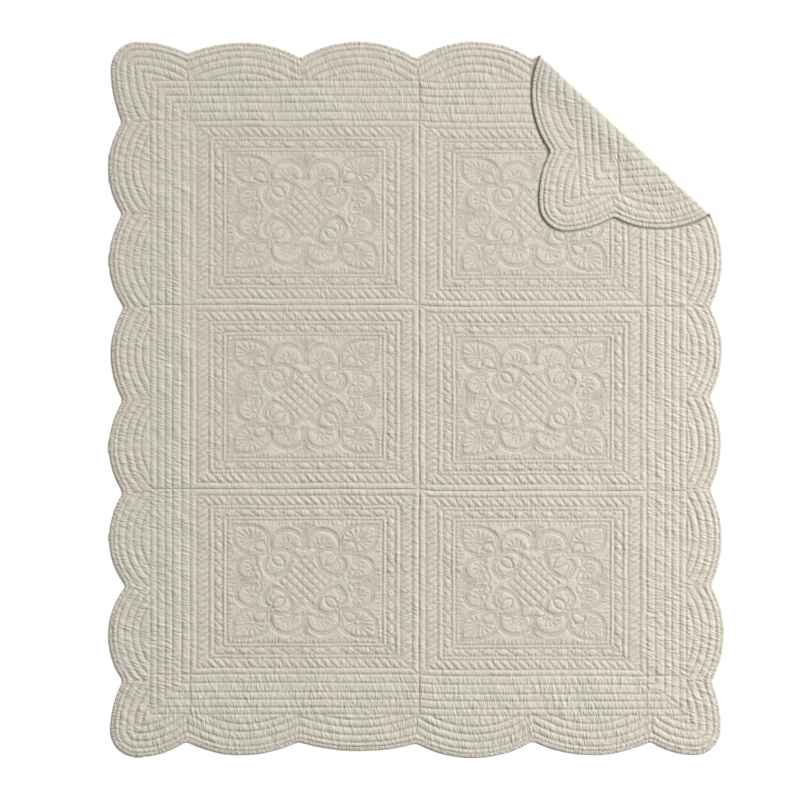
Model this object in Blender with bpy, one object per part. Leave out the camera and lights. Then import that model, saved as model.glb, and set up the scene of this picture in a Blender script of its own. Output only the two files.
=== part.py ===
"""Whole-cloth quilted throw with a scalloped, bound edge.

It lies flat, face up, with one corner turned over so that its backing shows.
Metres, +Z up. The origin is under the middle of the throw, on the surface that
it lies on, +Y runs along its length and +X across its width.
"""

import math
from collections import namedtuple

import bmesh
import bpy
import numpy as np
from mathutils import Vector
from mathutils.geometry import delaunay_2d_cdt

# Overall size, laid flat
WIDTH = 1.524
LENGTH = 1.772

# Scalloped edge. Each side is read anticlockwise from above, from its middle.
# cusp_at: place of each inward point along the side
# cusp_in: how far that point lies inside the overall size
# crest_in: the same for each round top, from one corner lobe to the next
EDGES = {
    "bottom": {
        "cusp_at": (-0.568, -0.291, 0.001, 0.288, 0.580),
        "cusp_in": (0.040, 0.040, 0.037, 0.042, 0.040),
        "crest_in": (0.0025, 0.007, 0.017, 0.000, 0.007, 0.007),
    },
    "right": {
        "cusp_at": (-0.696, -0.459, -0.221, 0.006, 0.229, 0.461, 0.687),
        "cusp_in": (0.030, 0.032, 0.035, 0.035, 0.035, 0.035, 0.035),
        "crest_in": (0.007, 0.000, 0.005, 0.007, 0.005, 0.005, 0.0025, 0.0025),
    },
    "top": {
        "cusp_at": (-0.575, -0.288, -0.001, 0.286, 0.565),
        "cusp_in": (0.042, 0.044, 0.042, 0.042, 0.030),
        "crest_in": (0.000, 0.000, 0.000, 0.000, 0.0025, 0.000),
    },
    "left": {
        "cusp_at": (-0.687, -0.459, -0.229, 0.001, 0.229, 0.461, 0.694),
        "cusp_in": (0.035, 0.035, 0.040, 0.037, 0.037, 0.044, 0.037),
        "crest_in": (0.007, 0.000, 0.0025, 0.007, 0.0025, 0.0025, 0.000, 0.005),
    },
}
SIDES = ("bottom", "right", "top", "left")
SIDE_HALF = {"bottom": WIDTH / 2, "right": LENGTH / 2, "top": WIDTH / 2, "left": LENGTH / 2}
CORNER_RADIUS = 0.066
ARC_STEPS = 6
ECHO_STEPS = 4
PAD_STEPS = 4
CORNER_STEPS = 4

# Quilting lines that follow the scallops, by depth from the edge
ECHO_DEPTHS = (0.021, 0.039, 0.058, 0.077)
EDGE_PAD_DEPTH = 0.0165
LAST_PAD_DEPTH = 0.087
CUSP_CLEAR = 0.08
LINE_CLEAR = 0.0015

# Straight frame inside them: its outer line and the channels inward to the blocks
FRAME_IN = {"left": 0.1034, "right": 0.0950, "top": 0.0978, "bottom": 0.1084}
FRAME_CHANNELS = (0.0171, 0.0195, 0.0178, 0.0230, 0.0210)
SEAM_X = 0.006
RIGHT_DROP = 0.0045
DROP_RUN = 0.040
SEAM_CLEAR = 0.006

# Six blocks, two across and three along, and the bands from a block's edge inward
ROW_EDGES = (-0.6792, -0.2214, 0.2338, 0.6894)
BAND_NAMES = ("seam", "ribs", "inner", "cable", "field")
BANDS_ACROSS = (0.0165, 0.0297, 0.0134, 0.0210, 0.0103)
BANDS_ALONG = (0.0156, 0.0240, 0.0094, 0.0188, 0.0087)
RIBS_A_SIDE = 25
RIB_LEAN = 1.15
RIB_END = 0.12
RIB_SHORTEST = 0.25
CABLE_LINKS = 10

# Medallion in each block, by offsets from the block's centre
NODE_AT = (0.084, 0.0656)
LEAF_TIP = (0.1757, 0.1455)
LEAF_HALF_WIDTH = 0.046
LEAF_STEPS = 5
LOBES = (
    {"at": (0.0385, 0.0990), "half": (0.0370, 0.0335)},
    {"at": (0.1260, 0.0335), "half": (0.0385, 0.0300)},
)
LOBE_STEPS = 6
DIAMOND_HALF = (0.0640, 0.0610)
DIAMOND_CELLS = 4

# Levels through the cloth, from the backing's outer side upward
BACK_TOP = 0.0020
FACE_BOTTOM = 0.0023
SEWN = 0.0032
PADDED = 0.0053
RIB_TOP = 0.0050
LINK_TOP = 0.0049
PETAL_TOP = 0.0057
PLAIN = 0.0036
BACK_SHARE = 0.55

# Bound rim: a folded strip with the two cloths between its walls
BINDING_WIDTH = 0.0085
BINDING_HEIGHT = 0.0043
BINDING_CLOTH = 0.0008
GAP = 0.0003
RIM_FLAT = 0.0090
RIM_END = 0.0130
RIM_BACK = BINDING_CLOTH + GAP
RIM_FACE = BINDING_HEIGHT - BINDING_CLOTH - GAP

# Turned corner: its edge, seen from above, and its section across the turn
TURN_FROM = (0.3130, 0.8473)
TURN_TO = (0.7261, 0.4614)
TURN_RADIUS = 0.0075
TURN_STEPS = 8
FLAP_HEIGHT = 0.0090
SLOPE_RUN = 0.055
EASE_RUN = 0.030
FLAP_MARGIN = 0.004
TURN_MARGIN = 0.006
RIM_MARGIN = 0.016
FAR = 3.0

TRIM_CLEAR = 0.003
TRIM_STEPS = 16
MERGE = 1e-6
ON_LINE = 2e-6

Arch = namedtuple("Arch", "crest_at crest_in half radius first last")
Line = namedtuple("Line", "points level")


# Scalloped edge

def side_point(side, along, inset):
    """Plan point at a place along a side and a distance inside it."""
    if side == "bottom":
        return (along, -LENGTH / 2 + inset)
    if side == "right":
        return (WIDTH / 2 - inset, along)
    if side == "top":
        return (-along, LENGTH / 2 - inset)
    return (-WIDTH / 2 + inset, -along)


def make_arch(crest_at, crest_in, half, rise, first=-1.0, last=1.0):
    radius = (half ** 2 + rise ** 2) / (2 * rise)
    return Arch(crest_at, crest_in, half, radius, first, last)


def side_arches(side):
    """Arches of one side: half a corner lobe, its scallops, half the next lobe."""
    table = EDGES[side]
    place = SIDES.index(side)
    before = EDGES[SIDES[place - 1]]["crest_in"][-1]
    after = EDGES[SIDES[(place + 1) % len(SIDES)]]["crest_in"][0]
    cusp_at, cusp_in, crest_in = table["cusp_at"], table["cusp_in"], table["crest_in"]
    start = -SIDE_HALF[side] + before + CORNER_RADIUS
    end = SIDE_HALF[side] - after - CORNER_RADIUS
    arches = [make_arch(start, crest_in[0], cusp_at[0] - start, cusp_in[0] - crest_in[0], first=0.0)]
    for i in range(len(cusp_at) - 1):
        middle = (cusp_at[i] + cusp_at[i + 1]) / 2
        rise = (cusp_in[i] + cusp_in[i + 1]) / 2 - crest_in[i + 1]
        arches.append(make_arch(middle, crest_in[i + 1], (cusp_at[i + 1] - cusp_at[i]) / 2, rise))
    arches.append(make_arch(end, crest_in[-1], end - cusp_at[-1], cusp_in[-1] - crest_in[-1], last=0.0))
    return arches


ARCHES = {side: side_arches(side) for side in SIDES}


def arch_end(arch, depth):
    """Inset at which an arc of this depth reaches the line of its cusp."""
    reach = arch.radius - depth
    return arch.crest_in + arch.radius - math.sqrt(max(reach ** 2 - arch.half ** 2, 0.0))


def cusp_inset(side, index, depth):
    """Inset of a cusp at a depth, the same for the two arches that meet there."""
    pair = ARCHES[side][index:index + 2]
    growth = sum(arch_end(arch, depth) - arch_end(arch, 0.0) for arch in pair) / len(pair)
    return EDGES[side]["cusp_in"][index] + growth


def arch_line(side, k, depth, steps=ARC_STEPS, clear=0.0, limit=None):
    """Points along one arch at a depth, kept outside the straight frame when limited."""
    arch = ARCHES[side][k]
    reach = arch.radius - depth
    span = math.asin(min(arch.half / reach, 1.0))
    first = max(arch.first, clear - 1.0)
    last = min(arch.last, 1.0 - clear)
    if limit is not None:
        level = (arch.crest_in + arch.radius - limit + LINE_CLEAR) / reach
        widest = math.acos(min(level, 1.0)) / span
        first, last = max(first, -widest), min(last, widest)
    shift_first = cusp_inset(side, k - 1, depth) - arch_end(arch, depth) if k > 0 else 0.0
    shift_last = cusp_inset(side, k, depth) - arch_end(arch, depth) if arch.last > 0.0 else 0.0
    count = max(round(steps * (arch.last - arch.first) / 2), 1)
    points = []
    for i in range(count + 1):
        f = first + (last - first) * i / count
        along = reach * math.sin(f * span)
        inset = arch.crest_in + arch.radius - reach * math.cos(f * span)
        inset += (shift_last if f > 0.0 else shift_first) * f ** 2
        if limit is not None:
            inset = min(inset, limit - LINE_CLEAR)
        points.append(side_point(side, arch.crest_at + along, inset))
    return points


def corner_arc(side, depth):
    """Round of the corner after a side; past its own radius it is one sharp point."""
    following = SIDES[(SIDES.index(side) + 1) % len(SIDES)]
    round_off = max(CORNER_RADIUS, depth)
    centre_at = SIDE_HALF[side] - EDGES[following]["crest_in"][0] - round_off
    centre_in = EDGES[side]["crest_in"][-1] + round_off
    radius = round_off - depth
    if radius == 0.0:
        return [side_point(side, centre_at, centre_in)]
    points = []
    for i in range(CORNER_STEPS + 1):
        angle = math.pi / 2 * i / CORNER_STEPS
        along = centre_at + radius * math.sin(angle)
        points.append(side_point(side, along, centre_in - radius * math.cos(angle)))
    return points


def outline(depth):
    """The whole scalloped edge, moved inward by a depth."""
    points = []
    for side in SIDES:
        for k in range(len(ARCHES[side])):
            points += arch_line(side, k, depth)[:-1]
        points += corner_arc(side, depth)[:-1]
    return points


def lobe_line(side, depth, steps, clear=0.0):
    """One line round the corner lobe after a side."""
    following = SIDES[(SIDES.index(side) + 1) % len(SIDES)]
    last = len(ARCHES[side]) - 1
    before = arch_line(side, last, depth, steps, clear, FRAME_IN[side])
    after = arch_line(following, 0, depth, steps, clear, FRAME_IN[following])
    return before[:-1] + corner_arc(side, depth) + after[1:]


def edge_lines():
    """Sewn and padded lines between the binding and the straight frame."""
    pads = [EDGE_PAD_DEPTH]
    pads += [(a + b) / 2 for a, b in zip(ECHO_DEPTHS, ECHO_DEPTHS[1:])]
    pads.append(LAST_PAD_DEPTH)
    lines = []
    for side in SIDES:
        limit = FRAME_IN[side]
        for k in range(1, len(ARCHES[side]) - 1):
            for depth in ECHO_DEPTHS:
                lines.append(Line(arch_line(side, k, depth, ECHO_STEPS, limit=limit), SEWN))
            for depth in pads:
                lines.append(Line(arch_line(side, k, depth, PAD_STEPS, CUSP_CLEAR, limit), PADDED))
        lines += [Line(lobe_line(side, depth, ECHO_STEPS), SEWN) for depth in ECHO_DEPTHS]
        lines += [Line(lobe_line(side, depth, PAD_STEPS, CUSP_CLEAR), PADDED) for depth in pads[:-1]]
        for index, along in enumerate(EDGES[side]["cusp_at"]):
            outer = side_point(side, along, cusp_inset(side, index, ECHO_DEPTHS[0]))
            lines.append(Line([outer, side_point(side, along, limit)], SEWN))
    return lines


# Straight frame and blocks

def dropped(x):
    """How far the pattern sits lower to the right of the middle seam."""
    return RIGHT_DROP * min(max((x - SEAM_X) / DROP_RUN, 0.0), 1.0)


def frame_corners(inset):
    return (
        -WIDTH / 2 + FRAME_IN["left"] + inset,
        -LENGTH / 2 + FRAME_IN["bottom"] + inset,
        WIDTH / 2 - FRAME_IN["right"] - inset,
        LENGTH / 2 - FRAME_IN["top"] - inset,
    )


def frame_line(inset):
    """Closed sewn line of the straight frame, which steps down past the middle seam."""
    x0, y0, x1, y1 = frame_corners(inset)
    stops = (x0, SEAM_X, SEAM_X + DROP_RUN, x1)
    lower = [(x, y0 - dropped(x)) for x in stops]
    upper = [(x, y1 - dropped(x)) for x in reversed(stops)]
    return Line(lower + upper + lower[:1], SEWN)


def frame_pads(inset):
    """Ridge along one channel of the frame, broken where a seam crosses it."""
    x0, y0, x1, y1 = frame_corners(inset)
    bx0, by0, bx1, by1 = frame_corners(sum(FRAME_CHANNELS))
    runs = []
    for x, drop in ((x0, 0.0), (x1, RIGHT_DROP)):
        stops = (by0, *ROW_EDGES[1:3], by1)
        runs += [
            [(x, low - drop + SEAM_CLEAR), (x, high - drop - SEAM_CLEAR)]
            for low, high in zip(stops, stops[1:])
        ]
    for y in (y0, y1):
        past = SEAM_X + DROP_RUN
        runs.append([(bx0 + SEAM_CLEAR, y), (SEAM_X - SEAM_CLEAR, y)])
        runs.append([(SEAM_X + SEAM_CLEAR, y), (past, y - RIGHT_DROP), (bx1 - SEAM_CLEAR, y - RIGHT_DROP)])
    for x, bx, y, by, drop in (
        (x0, bx0 - SEAM_CLEAR, y0, by0 - SEAM_CLEAR, 0.0),
        (x1, bx1 + SEAM_CLEAR, y0, by0 - SEAM_CLEAR, RIGHT_DROP),
        (x1, bx1 + SEAM_CLEAR, y1, by1 + SEAM_CLEAR, RIGHT_DROP),
        (x0, bx0 - SEAM_CLEAR, y1, by1 + SEAM_CLEAR, 0.0),
    ):
        runs.append([(x, by - drop), (x, y - drop), (bx, y - drop)])
    return [Line(run, PADDED) for run in runs]


def frame_seams():
    """Seams that run from the blocks out across the frame, towards the cusps."""
    x0, y0, x1, y1 = frame_corners(0.0)
    bx0, by0, bx1, by1 = frame_corners(sum(FRAME_CHANNELS))
    seams = []
    for y, by in ((y0, by0), (y1, by1)):
        seams += [((SEAM_X, y), (SEAM_X, by)), ((bx0, y), (bx0, by))]
        seams.append(((bx1, y - RIGHT_DROP), (bx1, by - RIGHT_DROP)))
    for x, bx, drop in ((x0, bx0, 0.0), (x1, bx1, RIGHT_DROP)):
        seams += [((x, y - drop), (bx, y - drop)) for y in (by0, *ROW_EDGES[1:3], by1)]
    return [Line(list(seam), SEWN) for seam in seams]


def frame_lines():
    """The frame's sewn lines, the ridges between them and the seams across them."""
    lines = [frame_line(0.0)]
    inset = 0.0
    for channel in FRAME_CHANNELS:
        lines += frame_pads(inset + channel / 2)
        inset += channel
        lines.append(frame_line(inset))
    return lines + frame_seams()


def block_boxes():
    """Lowest and highest corner of each of the six blocks."""
    x0, _, x1, _ = frame_corners(sum(FRAME_CHANNELS))
    boxes = []
    for left, right in ((x0, SEAM_X), (SEAM_X, x1)):
        drop = dropped((left + right) / 2)
        for low, high in zip(ROW_EDGES, ROW_EDGES[1:]):
            boxes.append((left, low - drop, right, high - drop))
    return boxes


def shrink(box, across, along):
    return (box[0] + across, box[1] + along, box[2] - across, box[3] - along)


def box_line(box, level):
    x0, y0, x1, y1 = box
    return Line([(x0, y0), (x1, y0), (x1, y1), (x0, y1), (x0, y0)], level)


def band_sides(outer, inner):
    """Each side of a band between two boxes: its start, length, and unit vectors along and in."""
    x0, y0, x1, y1 = outer
    across, along = inner[0] - x0, inner[1] - y0
    return (
        ((x0, y0), x1 - x0, (1, 0), (0, 1), across, along),
        ((x1, y0), y1 - y0, (0, 1), (-1, 0), along, across),
        ((x1, y1), x1 - x0, (-1, 0), (0, -1), across, along),
        ((x0, y1), y1 - y0, (0, -1), (1, 0), along, across),
    )


def rib_lines(outer, inner):
    """Herringbone band: leaning sewn strokes, with a ridge between each two."""
    lines = []
    for (ox, oy), length, (ax, ay), (nx, ny), mitre, width in band_sides(outer, inner):
        pitch = length / RIBS_A_SIDE
        lean = RIB_LEAN * pitch
        for half in range(1, 2 * RIBS_A_SIDE):
            start = half * pitch / 2
            clear = RIB_END if half % 2 else 0.0
            room = min(1.0, start / (mitre + lean), (length - start) / (mitre - lean))
            if room - 2 * clear < RIB_SHORTEST:
                continue
            ends = []
            for depth in (clear, room - clear):
                at, deep = start - lean * depth, width * depth
                ends.append((ox + ax * at + nx * deep, oy + ay * at + ny * deep))
            lines.append(Line(ends, RIB_TOP if half % 2 else SEWN))
    return lines


def cable_lines(outer, inner):
    """Chain of links: sewn lines across the band between them, a high point in each."""
    lines = []
    for (ox, oy), length, (ax, ay), (nx, ny), mitre, width in band_sides(outer, inner):
        pitch = (length - 2 * mitre) / CABLE_LINKS
        for k in range(CABLE_LINKS + 1):
            at = mitre + k * pitch
            ends = [(ox + ax * at + nx * deep, oy + ay * at + ny * deep) for deep in (0.0, width)]
            lines.append(Line(ends, SEWN))
            middle = at + pitch / 2
            if k < CABLE_LINKS:
                place = (ox + ax * middle + nx * width / 2, oy + ay * middle + ny * width / 2)
                lines.append(Line([place], LINK_TOP))
    return lines


def leaf_lines():
    """Corner leaf: pointed outline from its node to the field's corner, and its bud."""
    (ax, ay), (bx, by) = NODE_AT, LEAF_TIP
    length = math.hypot(bx - ax, by - ay)
    dx, dy = (bx - ax) / length, (by - ay) / length
    edge = []
    for i in range(LEAF_STEPS + 1):
        t = i / LEAF_STEPS
        edge.append((t * length, LEAF_HALF_WIDTH * math.sin(math.pi * t)))
    shape = edge + [(run, -wide) for run, wide in reversed(edge[:-1])]
    bud = [(0.30 * length, 0.0), (0.50 * length, 0.0), (0.72 * length, 0.0)]

    def placed(points):
        return [(ax + run * dx - wide * dy, ay + run * dy + wide * dx) for run, wide in points]

    return [Line(placed(shape), SEWN), Line(placed(bud), PETAL_TOP)]


def lobe_lines(lobe):
    """Round lobe: an oval outline with its padded middle."""
    (cx, cy), (rx, ry) = lobe["at"], lobe["half"]
    angles = [2 * math.pi * (i + 0.5) / LOBE_STEPS for i in range(LOBE_STEPS)]
    oval = [(cx + rx * math.cos(a), cy + ry * math.sin(a)) for a in angles]
    return [Line(oval + oval[:1], SEWN), Line([(cx, cy)], PETAL_TOP)]


def diamond_lines():
    """Cross-hatched diamond in the middle, with a pad in each cell."""
    half_x, half_y = DIAMOND_HALF
    n = DIAMOND_CELLS

    def at(i, j):
        s, t = i / n, j / n
        return (half_x * (s - t), half_y * (s + t - 1.0))

    lines = [Line([at(i, j) for j in range(n + 1)], SEWN) for i in range(n + 1)]
    lines += [Line([at(i, j) for i in range(n + 1)], SEWN) for j in range(n + 1)]
    lines += [Line([at(i + 0.5, j + 0.5)], LINK_TOP) for i in range(n) for j in range(n)]
    return lines


def medallion_lines(box):
    """The whole medallion: one quarter, mirrored over both of the block's middles."""
    cx, cy = (box[0] + box[2]) / 2, (box[1] + box[3]) / 2
    quarter = leaf_lines()
    for lobe in LOBES:
        quarter += lobe_lines(lobe)
    lines = []
    for sx, sy in ((1, 1), (-1, 1), (-1, -1), (1, -1)):
        for line in quarter:
            lines.append(Line([(cx + sx * x, cy + sy * y) for x, y in line.points], line.level))
    lines += [Line([(cx + x, cy + y) for x, y in line.points], line.level) for line in diamond_lines()]
    return lines


def block_lines(box):
    """All quilting of one block, from its edge to its medallion."""
    lines = [box_line(box, SEWN)]
    outer = box
    for name, across, along in zip(BAND_NAMES, BANDS_ACROSS, BANDS_ALONG):
        inner = shrink(outer, across, along)
        if name == "ribs":
            lines += rib_lines(outer, inner)
        elif name == "cable":
            lines += cable_lines(outer, inner)
        else:
            lines.append(box_line(shrink(outer, across / 2, along / 2), PADDED))
        lines.append(box_line(inner, SEWN))
        outer = inner
    return lines + medallion_lines(box)


# Turned corner

def turn_axes():
    """Unit vectors along the turned edge and out past it, and the edge's distance out."""
    (ax, ay), (bx, by) = TURN_FROM, TURN_TO
    length = math.hypot(bx - ax, by - ay)
    along = np.array([(bx - ax) / length, (by - ay) / length])
    out = np.array([-along[1], along[0]])
    return along, out, float(out @ np.array(TURN_FROM))


TURN_ALONG, TURN_OUT, TURN_AT = turn_axes()
TURN_START = TURN_AT - TURN_RADIUS


def turn_section():
    """Rows of the section across the turn: run of cloth, out, up, and the cloth's normal.

    The cloth turns in equal steps, slopes down and eases out level. Each normal halves
    the bend at its row, so that surfaces at two levels stay parallel all the way.
    """
    slope = math.atan((2 * TURN_RADIUS - FLAP_HEIGHT) / (SLOPE_RUN + EASE_RUN / 2))
    step = (math.pi + slope) / TURN_STEPS
    turns = [step] * TURN_STEPS + [-slope / 2, -slope / 2]
    runs = [2 * TURN_RADIUS * math.tan(step / 2)] * (TURN_STEPS - 1) + [SLOPE_RUN, EASE_RUN, TURN_MARGIN]
    rows = [(-FAR, -FAR, 0.0, 0.0, 1.0), (-TURN_MARGIN, -TURN_MARGIN, 0.0, 0.0, 1.0)]
    run, out, up, heading = 0.0, 0.0, 0.0, 0.0
    for turn, length in zip(turns, runs):
        middle = heading + turn / 2
        stretch = 1.0 / math.cos(turn / 2)
        rows.append((run, out, up, -math.sin(middle) * stretch, math.cos(middle) * stretch))
        heading += turn
        run += length
        out += length * math.cos(heading)
        up += length * math.sin(heading)
    rows += [(run, out, up, 0.0, -1.0), (run + FAR, out - FAR, up, 0.0, -1.0)]
    return np.array(rows)


SECTION = turn_section()
STATIONS = SECTION[1:-1, 0]
FLAP_FROM = SECTION[TURN_STEPS + 1, 0]


def past_turn(points):
    """Distance of flat points past the line where the cloth starts to turn."""
    return np.asarray(points)[:, :2] @ TURN_OUT - TURN_START


def fold_over(points):
    """Moves flat cloth points (x, y, level) to where the turned cloth holds them."""
    points = np.asarray(points, dtype=float)
    run = past_turn(points)
    out, up, normal_out, normal_up = (np.interp(run, SECTION[:, 0], SECTION[:, i]) for i in range(1, 5))
    level = points[:, 2]
    along = points[:, :2] @ TURN_ALONG
    plan = np.outer(along, TURN_ALONG) + np.outer(TURN_START + out + level * normal_out, TURN_OUT)
    return np.column_stack([plan, up + level * normal_up])


def cut_at_stations(points):
    """Adds a point wherever a line crosses one of the turn's lines."""
    result = [points[0]]
    for start, end in zip(points, points[1:]):
        a, b = past_turn([start, end])
        shares = [(station - a) / (b - a) for station in STATIONS if (station - a) * (station - b) < 0.0]
        for share in sorted(shares):
            result.append(tuple(p + (q - p) * share for p, q in zip(start, end)))
        result.append(end)
    return result


def closed_ring(depth):
    points = outline(depth)
    return cut_at_stations(points + points[:1])[:-1]


def inside(points, polygon):
    """Even and odd crossings tell which points lie inside a closed polygon."""
    points, polygon = np.asarray(points), np.asarray(polygon)
    result = np.zeros(len(points), dtype=bool)
    for (ax, ay), (bx, by) in zip(polygon, np.roll(polygon, -1, axis=0)):
        if ay == by:
            continue
        crosses = (ay > points[:, 1]) != (by > points[:, 1])
        result ^= crosses & (points[:, 0] < ax + (points[:, 1] - ay) * (bx - ax) / (by - ay))
    return result


def flap_outline(margin):
    """Plan outline of the turned corner where it lies on the throw, with a margin."""
    ring = np.array(outline(-margin))
    flap = ring[past_turn(ring) > FLAP_FROM]
    flat = np.column_stack([flap, np.zeros(len(flap))])
    return fold_over(flat)[:, :2]


FLAP_EDGE = flap_outline(FLAP_MARGIN)
FLAP_COVER = flap_outline(FLAP_MARGIN + LINE_CLEAR)


def covered(points):
    """Flat points that are under the turned corner, in the turn or past it."""
    return (past_turn(points) > -TURN_MARGIN - ON_LINE) | inside(points, FLAP_COVER)


# Meshing a flat layout

class Layout:
    """Points and lines of a flat layout, meshed so that no triangle crosses a line."""

    def __init__(self):
        self.points, self.levels, self.index, self.edges = [], [], {}, set()

    def point(self, place, level):
        key = (round(place[0], 5), round(place[1], 5))
        if key not in self.index:
            self.index[key] = len(self.points)
            self.points.append(place)
            self.levels.append(level)
        number = self.index[key]
        self.levels[number] = min(self.levels[number], level)
        return number

    def line(self, points, level, closed=False):
        numbers = [self.point(place, level) for place in points]
        if closed:
            numbers.append(numbers[0])
        self.edges |= {(a, b) for a, b in zip(numbers, numbers[1:]) if a != b}

    def stations(self, rings):
        """The turn's lines across a surface that the rings bound."""
        places = np.vstack(rings)
        run, along = past_turn(places), places @ TURN_ALONG
        for station in STATIONS:
            crossed = np.flatnonzero(abs(run - station) < ON_LINE)
            ends = [self.point(tuple(places[i]), FAR) for i in crossed[np.argsort(along[crossed])]]
            self.edges |= set(zip(ends[::2], ends[1::2]))

    def split_edges(self):
        """Edges cut at every point that lies on them."""
        places = np.array(self.points)
        result = set()
        for a, b in self.edges:
            start, span = places[a], places[b] - places[a]
            length = np.linalg.norm(span)
            offset = (places - start) @ (span / length)
            away = abs((places - start) @ np.array([-span[1], span[0]])) / length
            on_edge = np.flatnonzero((away < ON_LINE) & (offset > ON_LINE) & (offset < length - ON_LINE))
            chain = [a] + list(on_edge[np.argsort(offset[on_edge])]) + [b]
            result |= {tuple(sorted((int(p), int(q)))) for p, q in zip(chain, chain[1:])}
        return sorted(result)

    def mesh(self, rings, crossing_level):
        """Points (x, y, level) and triangles inside the first ring and outside the others."""
        plan = [Vector(place) for place in self.points]
        places, _, faces, sources, _, _ = delaunay_2d_cdt(plan, self.split_edges(), [], 0, 1e-8)
        levels = [min((self.levels[i] for i in source), default=crossing_level) for source in sources]
        points = np.column_stack([np.array([tuple(place) for place in places]), levels])
        faces = np.array(faces)
        middles = points[faces][:, :, :2].mean(axis=1)
        keep = np.zeros(len(faces), dtype=bool)
        for ring in rings:
            keep ^= inside(middles, ring)
        return points, faces[keep]


def plain_surface(rings, level):
    """Level surface between rings, cut only along the turn's lines."""
    layout = Layout()
    for ring in rings:
        layout.line(ring, level, closed=True)
    layout.stations(rings)
    return layout.mesh(rings, level)


def wall(ring, low, high, rising=True):
    """Upright strip round a ring, in triangles whose diagonals rise or fall along it."""
    count = len(ring)
    points = [(*place, low) for place in ring] + [(*place, high) for place in ring]
    faces = []
    for i in range(count):
        j = (i + 1) % count
        if rising:
            faces += [(i, j, count + j), (i, count + j, count + i)]
        else:
            faces += [(i, j, count + i), (j, count + j, count + i)]
    return np.array(points), np.array(faces)


# Pieces

def cloth_ring():
    """Rim of the two cloths, just inside the fold of the binding."""
    return closed_ring(BINDING_CLOTH + GAP)


def rim_layout(level):
    """Layout of a cloth that lies level in the binding, with the turn's lines."""
    layout = Layout()
    layout.line(cloth_ring(), level, closed=True)
    layout.line(closed_ring(RIM_FLAT), level, closed=True)
    layout.stations([cloth_ring()])
    return layout


def quilting_lines():
    lines = edge_lines() + frame_lines()
    for box in block_boxes():
        lines += block_lines(box)
    return lines


def trimmed(kept, dropped_end, wanted):
    """Last wanted place on the way from a kept end to a dropped one, a little short of it."""
    near, far = np.array(kept), np.array(dropped_end)
    for _ in range(TRIM_STEPS):
        middle = (near + far) / 2
        if wanted([middle])[0]:
            near = middle
        else:
            far = middle
    length = np.linalg.norm(near - kept)
    if length < 2 * TRIM_CLEAR:
        return None
    return tuple(kept + (near - kept) * (1.0 - TRIM_CLEAR / length))


def add_relief(layout, lines, wanted, level_of):
    """Adds the stretches of the quilting lines that are wanted."""
    for line in lines:
        points = cut_at_stations(line.points)
        chosen = wanted(points)
        level = level_of(line.level)
        if len(points) == 1 and chosen[0]:
            layout.point(points[0], level)
        for i in range(len(points) - 1):
            start, end = points[i:i + 2]
            if chosen[i] and not chosen[i + 1]:
                end = trimmed(start, end, wanted)
            elif chosen[i + 1] and not chosen[i]:
                start = trimmed(end, start, wanted)
            if (chosen[i] or chosen[i + 1]) and start and end:
                layout.line([start, end], level)


def face_top(lines):
    """Upper side of the face cloth: quilted where it shows, plain under the turned corner."""
    layout = rim_layout(RIM_FACE)
    add_relief(layout, lines, lambda points: ~covered(points), lambda level: level)
    edge = [tuple(place) for place in FLAP_EDGE]
    room = inside(edge, outline(RIM_MARGIN)) & (past_turn(edge) < -TURN_MARGIN)
    for i in range(len(edge) - 1):
        if room[i] and room[i + 1]:
            layout.line(edge[i:i + 2], PLAIN)
    points, faces = layout.mesh([cloth_ring()], SEWN)
    hidden = covered(points[:, :2]) & inside(points[:, :2], outline(RIM_FLAT + LINE_CLEAR))
    points[hidden, 2] = PLAIN
    return points, faces


def back_bottom(lines):
    """Outer side of the backing: flat below the throw, quilted on the turned corner."""
    layout = rim_layout(RIM_BACK)
    layout.line(closed_ring(RIM_END), 0.0, closed=True)
    add_relief(
        layout,
        lines,
        lambda points: past_turn(points) > FLAP_FROM + ON_LINE,
        lambda level: (SEWN - level) * BACK_SHARE,
    )
    points, faces = layout.mesh([cloth_ring()], 0.0)
    points[(past_turn(points) < FLAP_FROM + ON_LINE) & (points[:, 2] < 0.0), 2] = 0.0
    return points, faces


def material(name, colour, roughness):
    made = bpy.data.materials.new(name)
    made.use_nodes = True
    shader = made.node_tree.nodes["Principled BSDF"]
    shader.inputs["Base Color"].default_value = (*colour, 1.0)
    shader.inputs["Roughness"].default_value = roughness
    shader.inputs["Metallic"].default_value = 0.0
    return made


def make_piece(name, surfaces, collection, finish):
    """One closed solid from its surfaces, folded over at the turn and joined at their edges."""
    points, faces = [], []
    for surface_points, surface_faces in surfaces:
        faces += (np.asarray(surface_faces) + len(points)).tolist()
        points += surface_points.tolist()
    mesh = bpy.data.meshes.new(name)
    mesh.from_pydata(fold_over(points).tolist(), [], faces)
    shape = bmesh.new()
    shape.from_mesh(mesh)
    bmesh.ops.remove_doubles(shape, verts=shape.verts, dist=MERGE)
    bmesh.ops.recalc_face_normals(shape, faces=shape.faces)
    shape.to_mesh(mesh)
    shape.free()
    mesh.materials.append(finish)
    piece = bpy.data.objects.new(name, mesh)
    collection.objects.link(piece)
    return piece


def make_face(collection, lines, finish):
    ring = cloth_ring()
    surfaces = [face_top(lines), plain_surface([ring], FACE_BOTTOM), wall(ring, FACE_BOTTOM, RIM_FACE)]
    make_piece("quilt_face", surfaces, collection, finish)


def make_back(collection, lines, finish):
    ring = cloth_ring()
    surfaces = [plain_surface([ring], BACK_TOP), back_bottom(lines), wall(ring, RIM_BACK, BACK_TOP)]
    make_piece("quilt_back", surfaces, collection, finish)


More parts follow.
